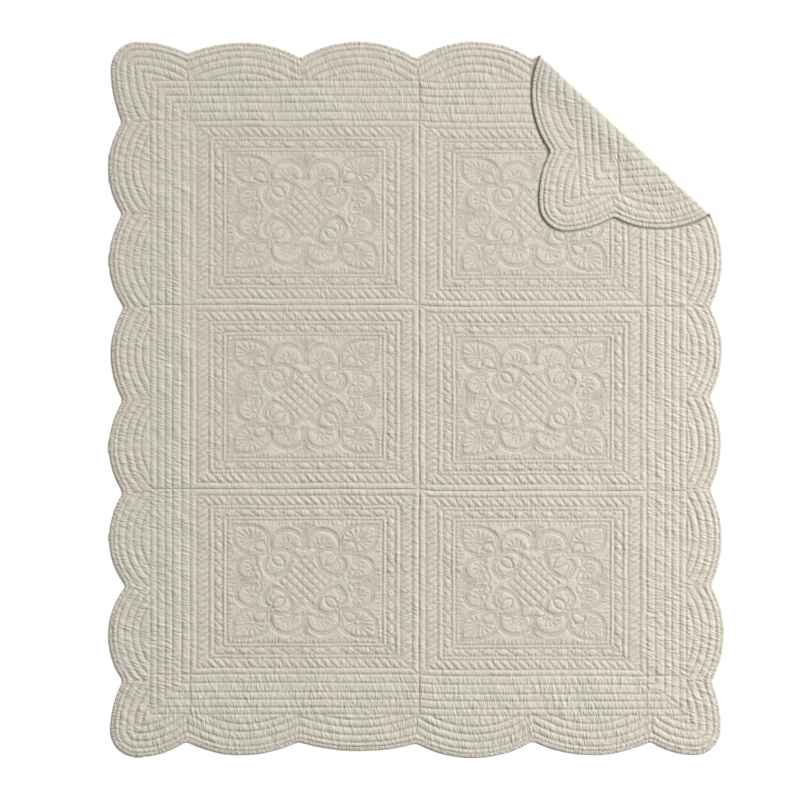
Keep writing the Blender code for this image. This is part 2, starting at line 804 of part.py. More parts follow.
def make_binding(collection, finish):
    """Folded strip round the whole edge: two walls and the fold that joins them."""
    outer, cavity, lip = closed_ring(0.0), closed_ring(BINDING_CLOTH), closed_ring(BINDING_WIDTH)
    low, high = BINDING_CLOTH, BINDING_HEIGHT - BINDING_CLOTH
    surfaces = [
        plain_surface([outer, lip], 0.0),
        plain_surface([cavity, lip], low),
        plain_surface([cavity, lip], high),
        plain_surface([outer, lip], BINDING_HEIGHT),
        wall(outer, 0.0, BINDING_HEIGHT),
        wall(cavity, low, high, rising=False),
        wall(lip, 0.0, low),
        wall(lip, high, BINDING_HEIGHT),
    ]
    make_piece("edge_binding", surfaces, collection, finish)


def main():
    for old in list(bpy.data.objects):
        bpy.data.objects.remove(old, do_unlink=True)
    collection = bpy.data.collections.new("quilted throw")
    bpy.context.scene.collection.children.link(collection)
    lines = quilting_lines()
    make_face(collection, lines, material("ivory cotton face", (0.62, 0.57, 0.47), 0.85))
    make_back(collection, lines, material("ivory cotton backing", (0.66, 0.61, 0.51), 0.85))
    make_binding(collection, material("ivory cotton binding", (0.60, 0.55, 0.45), 0.85))


main()
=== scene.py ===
"""Dresses the quilted throw: its quilted face, its backing, its bound edge and a plain stage.

Sizes are in metres, +Z up. The throw lies face up with its top right-hand corner turned
over. The quilting is worked out on the flat cloth, as a level for each point of a grid
that follows the straight seams, and the cloth is then folded over at the turn.
"""

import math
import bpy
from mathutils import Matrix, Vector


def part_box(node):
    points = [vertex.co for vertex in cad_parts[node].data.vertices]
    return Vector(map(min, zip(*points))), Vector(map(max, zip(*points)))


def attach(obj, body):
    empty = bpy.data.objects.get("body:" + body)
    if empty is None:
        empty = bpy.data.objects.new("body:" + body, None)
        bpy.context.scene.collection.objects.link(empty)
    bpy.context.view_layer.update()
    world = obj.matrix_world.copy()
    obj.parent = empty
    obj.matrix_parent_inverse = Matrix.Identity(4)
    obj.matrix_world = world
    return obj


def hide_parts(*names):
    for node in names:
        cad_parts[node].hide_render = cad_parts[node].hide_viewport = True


bl_info = {
    "name": "Quilted throw",
    "version": (1, 0, 0),
    "blender": (4, 5, 0),
    "location": "3D View > Sidebar > Throw",
    "description": "Quilted face, backing, bound edge and stage of a scalloped throw",
    "category": "Object",
}

from collections import namedtuple

import bpy
import numpy as np
from bpy.props import FloatProperty, FloatVectorProperty, PointerProperty
from bpy.types import Operator, Panel, PropertyGroup
from mathutils import Vector

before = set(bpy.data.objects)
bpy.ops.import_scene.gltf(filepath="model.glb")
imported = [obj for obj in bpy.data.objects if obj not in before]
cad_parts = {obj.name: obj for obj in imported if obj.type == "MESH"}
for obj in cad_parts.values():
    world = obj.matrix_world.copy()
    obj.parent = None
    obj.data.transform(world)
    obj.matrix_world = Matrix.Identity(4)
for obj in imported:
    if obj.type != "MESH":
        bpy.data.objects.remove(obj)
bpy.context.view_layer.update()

# Overall size, laid flat, from the bound edge of the frame
EDGE_LOW, EDGE_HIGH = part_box("edge_binding")
WIDTH = EDGE_HIGH[0] - EDGE_LOW[0]
LENGTH = EDGE_HIGH[1] - EDGE_LOW[1]

# Scalloped edge. Each side is read anticlockwise from above, from its middle.
# cusp_at: place of each inward point along the side
# cusp_in: how far that point lies inside the overall size
# crest_in: the same for each round top, from one corner lobe to the next
EDGES = {
    "bottom": {
        "cusp_at": (-0.568, -0.291, 0.001, 0.288, 0.580),
        "cusp_in": (0.040, 0.040, 0.037, 0.042, 0.040),
        "crest_in": (0.0025, 0.007, 0.017, 0.000, 0.007, 0.007),
    },
    "right": {
        "cusp_at": (-0.696, -0.459, -0.221, 0.006, 0.229, 0.461, 0.704),
        "cusp_in": (0.030, 0.032, 0.035, 0.035, 0.035, 0.035, 0.040),
        "crest_in": (0.007, 0.000, 0.005, 0.007, 0.005, 0.005, 0.0025, 0.012),
    },
    "top": {
        "cusp_at": (-0.551, -0.288, -0.001, 0.286, 0.565),
        "cusp_in": (0.0374, 0.044, 0.042, 0.042, 0.030),
        "crest_in": (0.000, 0.000, 0.000, 0.000, 0.0025, 0.000),
    },
    "left": {
        "cusp_at": (-0.687, -0.459, -0.229, 0.001, 0.229, 0.461, 0.694),
        "cusp_in": (0.035, 0.035, 0.040, 0.037, 0.037, 0.044, 0.037),
        "crest_in": (0.007, 0.000, 0.0025, 0.007, 0.0025, 0.0025, 0.000, 0.005),
    },
}
SIDES = ("bottom", "right", "top", "left")
SIDE_HALF = {"bottom": WIDTH / 2, "right": LENGTH / 2, "top": WIDTH / 2, "left": LENGTH / 2}
CORNER_RADIUS = 0.066
ARC_STEPS = 24
CORNER_STEPS = 16
CUSP_SOFTNESS = 0.006
EDGE_STEP = 0.0038

# Quilting lines that follow the scallops and the binding's seam, by depth from the edge
ECHO_DEPTHS = (0.021, 0.039, 0.058, 0.077)
RIM_SEAM_IN = 0.0096
LINE_CLEAR = 0.0015

# Straight frame inside them: its outer line and the channels inward to the blocks
FRAME_IN = {"left": 0.1034, "right": 0.0950, "top": 0.0978, "bottom": 0.1084}
FRAME_CHANNELS = (0.0171, 0.0195, 0.0178, 0.0230, 0.0210)
SEAM_X = 0.006
RIGHT_DROP = 0.0045
DROP_RUN = 0.040

# Six blocks, two across and three along, and the bands from a block's edge inward
ROW_EDGES = (-0.6792, -0.2214, 0.2338, 0.6894)
BAND_NAMES = ("seam", "ribs", "inner", "cable", "field")
BANDS_ACROSS = (0.0165, 0.0297, 0.0134, 0.0210, 0.0103)
BANDS_ALONG = (0.0156, 0.0240, 0.0094, 0.0188, 0.0087)
RIB_PITCH = {"across": 0.0166, "along": 0.0207}
RIB_LEAN = {"across": 1.67, "along": 1.43}
RIB_BEND = 0.10
RIB_SHORTEST = 0.2
LINK_PITCH = {"across": 0.0290, "along": 0.0356}
LINK_SHARE = 0.46

# Depth of the seam on a block's mitres: bottom right, top left, bottom left, top right
MITRE_SHARES = (1.00, 0.75, 0.45, 0.45)

# Medallion in each block, by offsets from the block's centre
NODE_AT = (0.0841, 0.0668)
LEAF_TIP = (0.1800, 0.1410)
LEAF_ROUND = (0.52, 0.62)
DOUBLE_LINE = 0.0058

# Leaf veins: where each ends on the outline, its foot on the leaf's middle, its gap and bend
LEAF_VEINS = (0.30, 0.45, 0.58, 0.70, 0.82, 0.94)
VEIN_FOOT, VEIN_CLIMB = 0.33, 0.16
VEIN_GAP, VEIN_BEND = 0.14, 0.05
BUD_FROM, BUD_RUN, BUD_WIDTH = 0.12, 0.30, 0.0300
BUD_ASIDE = (0.6, 0.8)

# Round lobes, and the small oval and petals in each
LOBES = (
    {"at": (0.0435, 0.0940), "half": (0.0435, 0.0370), "opens": -90.0},
    {"at": (0.1340, 0.0335), "half": (0.0380, 0.0300), "opens": 180.0},
)
LOBE_TURN = 118.0
OVAL_BACK = 0.30
OVAL_HALF = (0.0085, 0.0075)
PETAL_COUNT, PETAL_TURN, PETAL_BEND = 7, 31.0, 0.18
PETAL_NEAR, PETAL_FAR, PETAL_GROWTH = 0.0115, 0.0205, 0.0050

# Between a node and the diamond: a tear-shaped petal and a double arc
TEAR_FROM, TEAR_RUN, TEAR_WIDTH, TEAR_FULLNESS = 0.004, 0.040, 0.011, 0.8
ARC_RADIUS, ARC_TURN = 0.0500, 46.0

# Curved lines that join a node to the lobes on each side of it
STEM_LINES = (
    ((0.0905, 0.0610), (0.1020, 0.0500), (0.1030, 0.0350), (0.0930, 0.0190), (0.0800, 0.0080)),
    ((0.0860, 0.0590), (0.0965, 0.0480), (0.0970, 0.0355), (0.0880, 0.0225), (0.0740, 0.0130)),
    ((0.0800, 0.0530), (0.0880, 0.0430), (0.0860, 0.0320), (0.0780, 0.0240)),
    ((0.1120, 0.0010), (0.1060, 0.0110), (0.1090, 0.0230), (0.1200, 0.0300)),
    ((0.0800, 0.0745), (0.0640, 0.0840), (0.0440, 0.0800), (0.0250, 0.0690), (0.0090, 0.0560)),
    ((0.0760, 0.0700), (0.0620, 0.0780), (0.0450, 0.0745), (0.0290, 0.0645), (0.0150, 0.0520)),
    ((0.0010, 0.0880), (0.0110, 0.0820), (0.0240, 0.0850), (0.0330, 0.0920)),
)

DIAMOND_HALF = (0.0640, 0.0610)
DIAMOND_CELLS = 5

# Fans at the middles of the field's sides: rays in half of one, how they part at foot and tip,
# how each next one shortens, and for the upright and the level fan its places outward and bend
FAN_RAYS = 5
FAN_FOOT, FAN_TIP, FAN_FALL = 0.0010, 0.0064, 0.0018
FANS = (((0.1100, 0.126, 0.1455), 0.22, True), ((0.1430, 0.160, 0.1865), 0.20, False))

# Short gathers at the field's border: on its left and right sides, then on its two ends
TICK_PITCH = 0.0095
TICK_STRAY = (0.2, 0.8)
TICKS = (
    {"length": (0.006, 0.020), "slant": (-0.005, 0.003)},
    {"length": (0.005, 0.013), "slant": (-0.003, 0.003)},
)

# How each kind of line is drawn into the padding: its depth and its reach to each side
Sewing = namedtuple("Sewing", "depth reach")
SEWN = Sewing(0.0023, 0.0055)
ECHO = Sewing(0.0029, 0.0062)
RIB = Sewing(0.0027, 0.0050)
LINK = Sewing(0.0028, 0.0044)
OUTLINE = Sewing(0.0029, 0.0046)
VEIN = Sewing(0.0025, 0.0040)
HATCH = Sewing(0.0026, 0.0050)
CROSS_HATCH = Sewing(0.0026, 0.0048)
TICK = Sewing(0.0024, 0.0040)
RIM = Sewing(0.0019, 0.0060)
STEMS = [(points, OUTLINE if len(points) > 4 else VEIN) for points in STEM_LINES]

# Levels through the cloth, from the backing's outer side upward
CREST = 0.0056
PLAIN = 0.0036
SEWN_LEVEL = 0.0032
LOWEST = SEWN_LEVEL - 0.0012
RIM_FACE = 0.0031
RIM_BACK = 0.0011
BACK_SHARE = 0.95
RIM_FLAT = 0.0090
RIM_RISE = RIM_FLAT - 0.001
RIM_END = 0.0130
CLOTH_EDGE = 0.0030

# Turned corner: its edge, seen from above, and its section across the turn
TURN_FROM = (0.3130, 0.8473)
TURN_TO = (0.7261, 0.4614)
TURN_RADIUS = 0.0075
TURN_STEPS = 8
FLAP_HEIGHT = 0.0090
SLOPE_RUN = 0.055
EASE_RUN = 0.030
SECTION_STEP = 0.0005
SECTION_RUN = 0.45
FLAP_FADE = 0.014

# Where the quilting fades out: near the turned corner's outline, and before the turn. It shows
# through on the backing between these shares of the cloth's run round the turn.
NEAR_FADE = (0.05, 0.95)
TURN_FADE = (-0.010, -0.002)
BACK_SHOWS = (0.4, 2.0)

# Strength of the small gathers in each zone, and how slack the sewing is towards the upper left
PULL = {"border": 0.60, "bands": 0.38, "field": 0.30}
SLACKEST = 0.74
SLACK_SLOPE = 1.3
SLACK_RUN = (-1.1, 0.5)

# Backing: coarse where it lies on the floor, fine from a little before the turn
BACK_FINE_FROM = (0.270, 0.400)
BACK_COARSE = 5

# Parts of the face, by their place across and along
PANELS = {
    "face_bottom_left": (0, 0),
    "face_bottom_right": (1, 0),
    "face_middle_left": (0, 1),
    "face_middle_right": (1, 1),
    "face_top_left": (0, 2),
    "face_top_right": (1, 2),
}

# Section of the binding, from its lip on the face round the edge to its lip on the backing:
# depth from the throw's edge, and level
BINDING_SECTION = (
    (0.0088, 0.0024),
    (0.0086, 0.0033),
    (0.0078, 0.0037),
    (0.0066, 0.0034),
    (0.0045, 0.0038),
    (0.0022, 0.0032),
    (0.0007, 0.0021),
    (0.0000, 0.0011),
    (0.0007, 0.0004),
    (0.0022, 0.0002),
    (0.0048, 0.0000),
    (0.0078, 0.0001),
    (0.0088, 0.0006),
)
BINDING_SEAM = (0.0060, 0.0070)
BINDING_FACE_FROM = 0.002
BINDING_GATHER = 0.00070
BINDING_GATHER_RUN = (0.0, 0.004)
BINDING_BACK_SHIFT = 0.01

# Chance unevenness: the size of its cells both ways, their shift, and the seed of its values
NOISE_CELLS = 512
Cells = namedtuple("Cells", "size_p size_q shift_p shift_q seed")
STRAY_CELLS = (
    (Cells(0.085, 0.060, 40.0, 40.0, 11), Cells(0.03, 0.03, 0.0, 0.0, 12)),
    (Cells(0.060, 0.085, 40.0, 40.0, 13), Cells(0.03, 0.03, 0.0, 0.0, 14)),
)
SIDE_CELLS = (Cells(0.0085, 0.019, 0.0, 9.0, 21), Cells(0.0052, 0.012, 0.0, 5.0, 22))
END_CELLS = (Cells(0.0072, 0.019, 0.0, 9.0, 23), Cells(0.0045, 0.012, 0.0, 5.0, 24))
BORDER_CELLS = Cells(0.060, 0.045, 3.0, 3.0, 25)
BAND_CELLS = (Cells(0.0056, 0.011, 0.0, 7.0, 31), Cells(0.0056, 0.011, 0.0, 7.0, 32))
FIELD_CELLS = Cells(0.0058, 0.0058, 2.0, 2.0, 33)
BLOCK_CELLS = Cells(0.050, 0.040, 5.0, 5.0, 34)
TENSION_CELLS = Cells(0.040, 0.040, 6.0, 6.0, 41)
SWELL_CELLS = (Cells(0.050, 0.050, 8.0, 8.0, 42), Cells(0.024, 0.024, 0.0, 0.0, 43))
BINDING_CELLS = Cells(0.0055, 0.004, 0.0, 0.0, 51)

# Shares of that unevenness: what its fine part adds, its lean, and its strength and spread
CREASE_STEEPNESS = 2.4
STRAY_FINE, BORDER_FINE, SWELL_FINE = 0.4, 0.5, 0.6
SIDE_LEAN, END_LEAN = 0.30, 0.12
BAND_LEANS = (0.2, 0.1)
BORDER_STRENGTH, BLOCK_STRENGTH = (0.62, 0.38), (0.62, 0.30)
BORDER_SHARE, BLOCK_SHARE, FIELD_SHARE = 1.5, 0.62, 0.6
BORDER_MITRE, BLOCK_MITRE = 0.012, 0.08
FIELD_FADE = (0.95, 1.02)
TENSION_SPREAD = 0.22
PUCKER_OPEN, PUCKER_SEWN = 0.50, 0.14
SWELL_SEWN = 0.6
SEAM_NARROWING = 1.5

# Cotton: heights of its thicker threads, crinkles and gathers on the wide pieces and the binding
Relief = namedtuple("Relief", "slub crinkle pleat")
WIDE_RELIEF = Relief(0.0004, 0.0012, 0.0014)
STRIP_RELIEF = Relief(0.0003, 0.0008, 0.0018)
WEAVE_HEIGHT, PLEAT_HEIGHT = 0.00018, 2.2
WEAVE_STRENGTH, SLUB_STRENGTH, CRINKLE_STRENGTH = 0.5, 0.6, 0.85

# Cotton: stretch of the threads' thicker places, stretch and turn of the gathers, noise scales
SLUBS = ((0.011, 0.0011, 0.011), (0.0011, 0.011, 0.011))
PLEATS = (((0.0105, 0.038, 1.0), 8.0), ((0.040, 0.0115, 1.0), -17.0))
PLEAT_SHARPNESS = 8.0
PLEAT_SCALE, CRINKLE_SCALE, PATCH_SCALE = 22.0, 300.0, 14.0

# Cotton: how its colour varies, the painted shade and dirt along its seams, its roughness and its
# soft sheen
TONES = (0.955, 1.045)
SEAM_SHADE_AND_DIRT = (0.74, 0.70, 0.64)
PATCH_TINT = (0.95, 0.945, 0.93)
ROUGHNESS = (0.82, 0.96)
COTTON = {"Sheen Weight": 0.15, "Sheen Roughness": 0.6, "Specular IOR Level": 0.25}

# Stage: floor, lights and camera
FLOOR_HALF, FLOOR_LEVEL = 4.0, -0.0003
PAINT = {"Roughness": 0.9, "Specular IOR Level": 0.2}
KEY_AT = (5.2, 7.2, 5.5)
KEY_SPREAD = 28.0
SIDE_AT = (3.4, 0.3, 2.1)
SIDE_SIZE = 1.6
SENSOR = 36.0
IMAGE_CENTRE = (-0.0408, -0.0012)

Stroke = namedtuple("Stroke", "points sewing")
Arch = namedtuple("Arch", "crest_at crest_in half radius first last")


# Settings that a user would change

class ThrowCloth(PropertyGroup):
    grid_step: FloatProperty(
        name="Grid step", description="Spacing of the points of the quilted cloth",
        default=0.0027, min=0.0024, max=0.02, precision=4, unit="LENGTH")
    pucker: FloatProperty(
        name="Puckers", description="Height of the small puckers across the sewn channels",
        default=0.0030, min=0.0, max=0.006, precision=4, unit="LENGTH")
    swell: FloatProperty(
        name="Swell", description="Height of the soft unevenness of the padding",
        default=0.0009, min=0.0, max=0.003, precision=4, unit="LENGTH")
    drift: FloatProperty(
        name="Drift", description="How far the sewn lines stray from their true places",
        default=0.0008, min=0.0, max=0.004, precision=4, unit="LENGTH")
    weave_pitch: FloatProperty(
        name="Weave pitch", description="Distance between two threads of the cotton",
        default=0.0009, min=0.0003, max=0.003, precision=4, unit="LENGTH")


class ThrowColours(PropertyGroup):
    face: FloatVectorProperty(
        name="Face", description="Ivory of the quilted face",
        default=(0.455, 0.435, 0.385), size=3, min=0.0, max=1.0, subtype="COLOR")
    back: FloatVectorProperty(
        name="Backing", description="Ivory of the backing",
        default=(0.463, 0.443, 0.392), size=3, min=0.0, max=1.0, subtype="COLOR")
    binding: FloatVectorProperty(
        name="Binding", description="Ivory of the bound edge",
        default=(0.456, 0.436, 0.386), size=3, min=0.0, max=1.0, subtype="COLOR")
    # Strength of the painted shade, with a little dirt, along the sewn lines
    seam_shade: FloatProperty(
        name="Seam shade", description="How much darker the cloth is along its sewn lines",
        default=0.65, min=0.0, max=1.0, subtype="FACTOR")


class ThrowStage(PropertyGroup):
    view_width: FloatProperty(
        name="View width", description="Width of floor that the camera sees",
        default=1.979, min=1.0, max=5.0, unit="LENGTH")
    camera_height: FloatProperty(
        name="Camera height", description="Height of the camera above the throw",
        default=4.70, min=1.0, max=20.0, unit="LENGTH")
    floor: FloatVectorProperty(
        name="Floor", description="White of the floor",
        default=(0.93, 0.93, 0.93), size=3, min=0.0, max=1.0, subtype="COLOR")
    bounce: FloatVectorProperty(
        name="Fill colour", description="Warm white of the even light from all round",
        default=(1.0, 0.95, 0.87), size=3, min=0.0, max=1.0, subtype="COLOR")
    key_power: FloatProperty(
        name="Key light", description="Strength of the wide soft light from the upper right",
        default=4.1, min=0.0, max=50.0)
    side_power: FloatProperty(
        name="Side light", description="Power of the soft light at the right",
        default=105.0, min=0.0, max=1000.0)
    sky: FloatProperty(
        name="Fill light", description="Strength of the even light from all round",
        default=0.37, min=0.0, max=5.0)


# Scalloped edge

def side_point(side, along, inset):
    """Plan point at a place along a side and a distance inside it."""
    if side == "bottom":
        return (along, -LENGTH / 2 + inset)
    if side == "right":
        return (WIDTH / 2 - inset, along)
    if side == "top":
        return (-along, LENGTH / 2 - inset)
    return (-WIDTH / 2 + inset, -along)


def make_arch(crest_at, crest_in, half, rise, first=-1.0, last=1.0):
    radius = (half ** 2 + rise ** 2) / (2 * rise)
    return Arch(crest_at, crest_in, half, radius, first, last)


def side_after(side):
    return SIDES[(SIDES.index(side) + 1) % len(SIDES)]


def side_arches(side):
    """Arches of one side: half a corner lobe, its scallops, half the next lobe."""
    table = EDGES[side]
    before = EDGES[SIDES[SIDES.index(side) - 1]]["crest_in"][-1]
    after = EDGES[side_after(side)]["crest_in"][0]
    cusp_at, cusp_in, crest_in = table["cusp_at"], table["cusp_in"], table["crest_in"]
    start = -SIDE_HALF[side] + before + CORNER_RADIUS
    end = SIDE_HALF[side] - after - CORNER_RADIUS
    rise = cusp_in[0] - crest_in[0]
    arches = [make_arch(start, crest_in[0], cusp_at[0] - start, rise, first=0.0)]
    for i in range(len(cusp_at) - 1):
        middle = (cusp_at[i] + cusp_at[i + 1]) / 2
        half = (cusp_at[i + 1] - cusp_at[i]) / 2
        rise = (cusp_in[i] + cusp_in[i + 1]) / 2 - crest_in[i + 1]
        arches.append(make_arch(middle, crest_in[i + 1], half, rise))
    rise = cusp_in[-1] - crest_in[-1]
    arches.append(make_arch(end, crest_in[-1], end - cusp_at[-1], rise, last=0.0))
    return arches


ARCHES = {side: side_arches(side) for side in SIDES}


def arch_end(arch, depth):
    """Inset at which an arc of this depth reaches the line of its cusp."""
    reach = arch.radius - depth
    return arch.crest_in + arch.radius - math.sqrt(max(reach ** 2 - arch.half ** 2, 0.0))


def cusp_inset(side, index, depth):
    """Inset of a cusp at a depth, the same for the two arches that meet there."""
    pair = ARCHES[side][index:index + 2]
    growth = sum(arch_end(arch, depth) - arch_end(arch, 0.0) for arch in pair) / len(pair)
    return EDGES[side]["cusp_in"][index] + growth


def arch_line(side, k, depth, limit=None):
    """Points along one arch at a depth, kept outside the straight frame when limited."""
    arch = ARCHES[side][k]
    reach = arch.radius - depth
    span = math.asin(min(arch.half / reach, 1.0))
    first, last = arch.first, arch.last
    if limit is not None:
        level = (arch.crest_in + arch.radius - limit + LINE_CLEAR) / reach
        widest = math.acos(min(level, 1.0)) / span
        first, last = max(first, -widest), min(last, widest)
    shift_first = cusp_inset(side, k - 1, depth) - arch_end(arch, depth) if k > 0 else 0.0
    shift_last = cusp_inset(side, k, depth) - arch_end(arch, depth) if arch.last > 0.0 else 0.0
    count = max(round(ARC_STEPS * (arch.last - arch.first) / 2), 1)
    points = []
    for i in range(count + 1):
        f = first + (last - first) * i / count
        along = reach * math.sin(f * span)
        inset = arch.crest_in + arch.radius - reach * math.cos(f * span)
        inset += (shift_last if f > 0.0 else shift_first) * f ** 2
        if limit is not None:
            inset = min(inset, limit - LINE_CLEAR)
        points.append(side_point(side, arch.crest_at + along, inset))
    return points


def corner_arc(side, depth):
    """Round of the corner after a side; past its own radius it is one sharp point."""
    following = side_after(side)
    round_off = max(CORNER_RADIUS, depth)
    centre_at = SIDE_HALF[side] - EDGES[following]["crest_in"][0] - round_off
    centre_in = EDGES[side]["crest_in"][-1] + round_off
    radius = round_off - depth
    if radius == 0.0:
        return [side_point(side, centre_at, centre_in)]
    points = []
    for i in range(CORNER_STEPS + 1):
        angle = math.pi / 2 * i / CORNER_STEPS
        along = centre_at + radius * math.sin(angle)
        points.append(side_point(side, along, centre_in - radius * math.cos(angle)))
    return points


def lobe_line(side, depth):
    """One line round the corner lobe after a side."""
    following = side_after(side)
    last = len(ARCHES[side]) - 1
    before = arch_line(side, last, depth, FRAME_IN[side])
    after = arch_line(following, 0, depth, FRAME_IN[following])
    return before[:-1] + corner_arc(side, depth) + after[1:]


def resampled(points, step):
    """Even points along a closed line."""
    points = np.vstack([points, points[:1]])
    run = np.concatenate([[0.0], np.cumsum(np.linalg.norm(np.diff(points, axis=0), axis=1))])
    count = round(run[-1] / step)
    places = run[-1] * np.arange(count) / count
    return np.column_stack([np.interp(places, run, points[:, i]) for i in (0, 1)])


def edge_curve():
    """The scalloped edge with its cusps softened, and its unit normals inward."""
    points = []
    for side in SIDES:
        for k in range(len(ARCHES[side])):
            points += arch_line(side, k, 0.0)[:-1]
        points += corner_arc(side, 0.0)[:-1]
    fine = resampled(np.array(points), EDGE_STEP / 3)
    reach = round(3 * CUSP_SOFTNESS / (EDGE_STEP / 3))
    shares = np.exp(-0.5 * (np.arange(-reach, reach + 1) * (EDGE_STEP / 3) / CUSP_SOFTNESS) ** 2)
    shares /= shares.sum()
    soft = sum(share * np.roll(fine, i - reach, axis=0) for i, share in enumerate(shares))
    curve = resampled(soft, EDGE_STEP)
    tangent = np.roll(curve, -1, axis=0) - np.roll(curve, 1, axis=0)
    tangent /= np.linalg.norm(tangent, axis=1)[:, None]
    return curve, np.column_stack([-tangent[:, 1], tangent[:, 0]])


EDGE_POINTS, EDGE_INWARD = edge_curve()


def edge_at(depth):
    """The softened edge, moved inward by a depth."""
    return EDGE_POINTS + EDGE_INWARD * depth


def edge_strokes():
    """Sewn lines between the binding and the straight frame, and the seams from the cusps."""
    strokes = [Stroke(closed(edge_at(RIM_SEAM_IN)), RIM)]
    for side in SIDES:
        limit = FRAME_IN[side]
        for depth in ECHO_DEPTHS:
            for k in range(1, len(ARCHES[side]) - 1):
                strokes.append(Stroke(arch_line(side, k, depth, limit), ECHO))
            strokes.append(Stroke(lobe_line(side, depth), ECHO))
        for index, along in enumerate(EDGES[side]["cusp_at"]):
            outer = side_point(side, along, cusp_inset(side, index, ECHO_DEPTHS[0]))
            strokes.append(Stroke([outer, side_point(side, along, limit)], SEWN))
    return strokes


# Straight frame and blocks, in the pattern's own plan, which has no step at the middle seam

def dropped(x):
    """How far the pattern sits lower to the right of the middle seam."""
    return RIGHT_DROP * np.clip((np.asarray(x) - SEAM_X) / DROP_RUN, 0.0, 1.0)


def to_pattern(points):
    """Plan points of the cloth, as places in the pattern."""
    points = np.asarray(points, dtype=float)
    return np.column_stack([points[:, 0], points[:, 1] + dropped(points[:, 0])])


def closed(points):
    return np.vstack([points, points[:1]])


def frame_box(inset):
    return (
        -WIDTH / 2 + FRAME_IN["left"] + inset,
        -LENGTH / 2 + FRAME_IN["bottom"] + inset,
        WIDTH / 2 - FRAME_IN["right"] - inset,
        LENGTH / 2 - FRAME_IN["top"] - inset,
    )


def box_stroke(box, sewing):
    x0, y0, x1, y1 = box
    return Stroke([(x0, y0), (x1, y0), (x1, y1), (x0, y1), (x0, y0)], sewing)


def frame_strokes():
    """The frame's sewn lines and the seams that cross it towards the cusps."""
    strokes = [box_stroke(frame_box(0.0), SEWN)]
    inset = 0.0
    for channel in FRAME_CHANNELS:
        inset += channel
        strokes.append(box_stroke(frame_box(inset), SEWN))
    x0, y0, x1, y1 = frame_box(0.0)
    bx0, by0, bx1, by1 = frame_box(inset)
    for y, by in ((y0, by0), (y1, by1)):
        strokes += [Stroke([(x, y), (x, by)], SEWN) for x in (bx0, SEAM_X, bx1)]
    for x, bx in ((x0, bx0), (x1, bx1)):
        strokes += [Stroke([(x, y), (bx, y)], SEWN) for y in (by0, *ROW_EDGES[1:3], by1)]
    return strokes


def block_boxes():
    """Lowest and highest corner of each of the six blocks."""
    x0, _, x1, _ = frame_box(sum(FRAME_CHANNELS))
    boxes = []
    for left, right in ((x0, SEAM_X), (SEAM_X, x1)):
        boxes += [(left, low, right, high) for low, high in zip(ROW_EDGES, ROW_EDGES[1:])]
    return boxes


def shrink(box, across, along):
    return (box[0] + across, box[1] + along, box[2] - across, box[3] - along)


def band_sides(outer, inner):
    """Each side of a band: its start, length, unit vectors along and in, mitre, width and lie."""
    x0, y0, x1, y1 = outer
    across, along = inner[0] - x0, inner[1] - y0
    return (
        ((x0, y0), x1 - x0, (1, 0), (0, 1), across, along, "along"),
        ((x1, y0), y1 - y0, (0, 1), (-1, 0), along, across, "across"),
        ((x1, y1), x1 - x0, (-1, 0), (0, -1), across, along, "along"),
        ((x0, y1), y1 - y0, (0, -1), (1, 0), along, across, "across"),
    )


def rib_strokes(outer, inner):
    """Herringbone band: strokes that lean and bend a little on their way across it."""
    strokes = []
    for (ox, oy), length, (ax, ay), (nx, ny), mitre, width, lie in band_sides(outer, inner):
        count = round(length / RIB_PITCH[lie])
        pitch = length / count
        lean = RIB_LEAN[lie] * pitch
        for k in range(1, count):
            start = k * pitch
            room = min(1.0, start / (mitre + lean), (length - start) / max(mitre - lean, 1e-6))
            if room < RIB_SHORTEST:
                continue
            points = []
            for share in np.linspace(0.0, room, 6):
                bend = share + RIB_BEND * math.sin(2 * math.pi * share)
                at, deep = start - lean * bend, width * share
                points.append((ox + ax * at + nx * deep, oy + ay * at + ny * deep))
            strokes.append(Stroke(points, RIB))
    return strokes


def cable_strokes(outer, inner):
    """Two waves that cross and make a chain of links."""
    strokes = []
    for (ox, oy), length, (ax, ay), (nx, ny), mitre, width, lie in band_sides(outer, inner):
        count = round((length - 2 * mitre) / LINK_PITCH[lie])
        run = length - 2 * mitre
        for sign in (1.0, -1.0):
            points = []
            for t in np.linspace(0.0, 1.0, 8 * count + 1):
                at = mitre + run * t
                deep = width * (0.5 + sign * LINK_SHARE * math.sin(math.pi * count * t))
                points.append((ox + ax * at + nx * deep, oy + ay * at + ny * deep))
            strokes.append(Stroke(points, LINK))
    return strokes


def leaf_outline(inset):
    """Half of the leaf's outline, node to tip: two straight sides and a full round between."""
    (x0, y0), (x1, y1) = np.array(NODE_AT) + inset, np.array(LEAF_TIP) - inset
    round_x, round_y = LEAF_ROUND[0] * (x1 - x0), LEAF_ROUND[1] * (y1 - y0)
    turn = np.linspace(0.0, math.pi / 2, 9)
    arc_x = x1 - round_x * (1 - np.sin(turn))
    arc = np.column_stack([arc_x, y0 + round_y * (1 - np.cos(turn))])
    return np.vstack([[(x0, y0)], arc, [(x1, y1)]])


def place_along(points, share):
    """Place at a share of a line's whole run."""
    run = np.concatenate([[0.0], np.cumsum(np.linalg.norm(np.diff(points, axis=0), axis=1))])
    return np.array([np.interp(share * run[-1], run, points[:, i]) for i in (0, 1)])


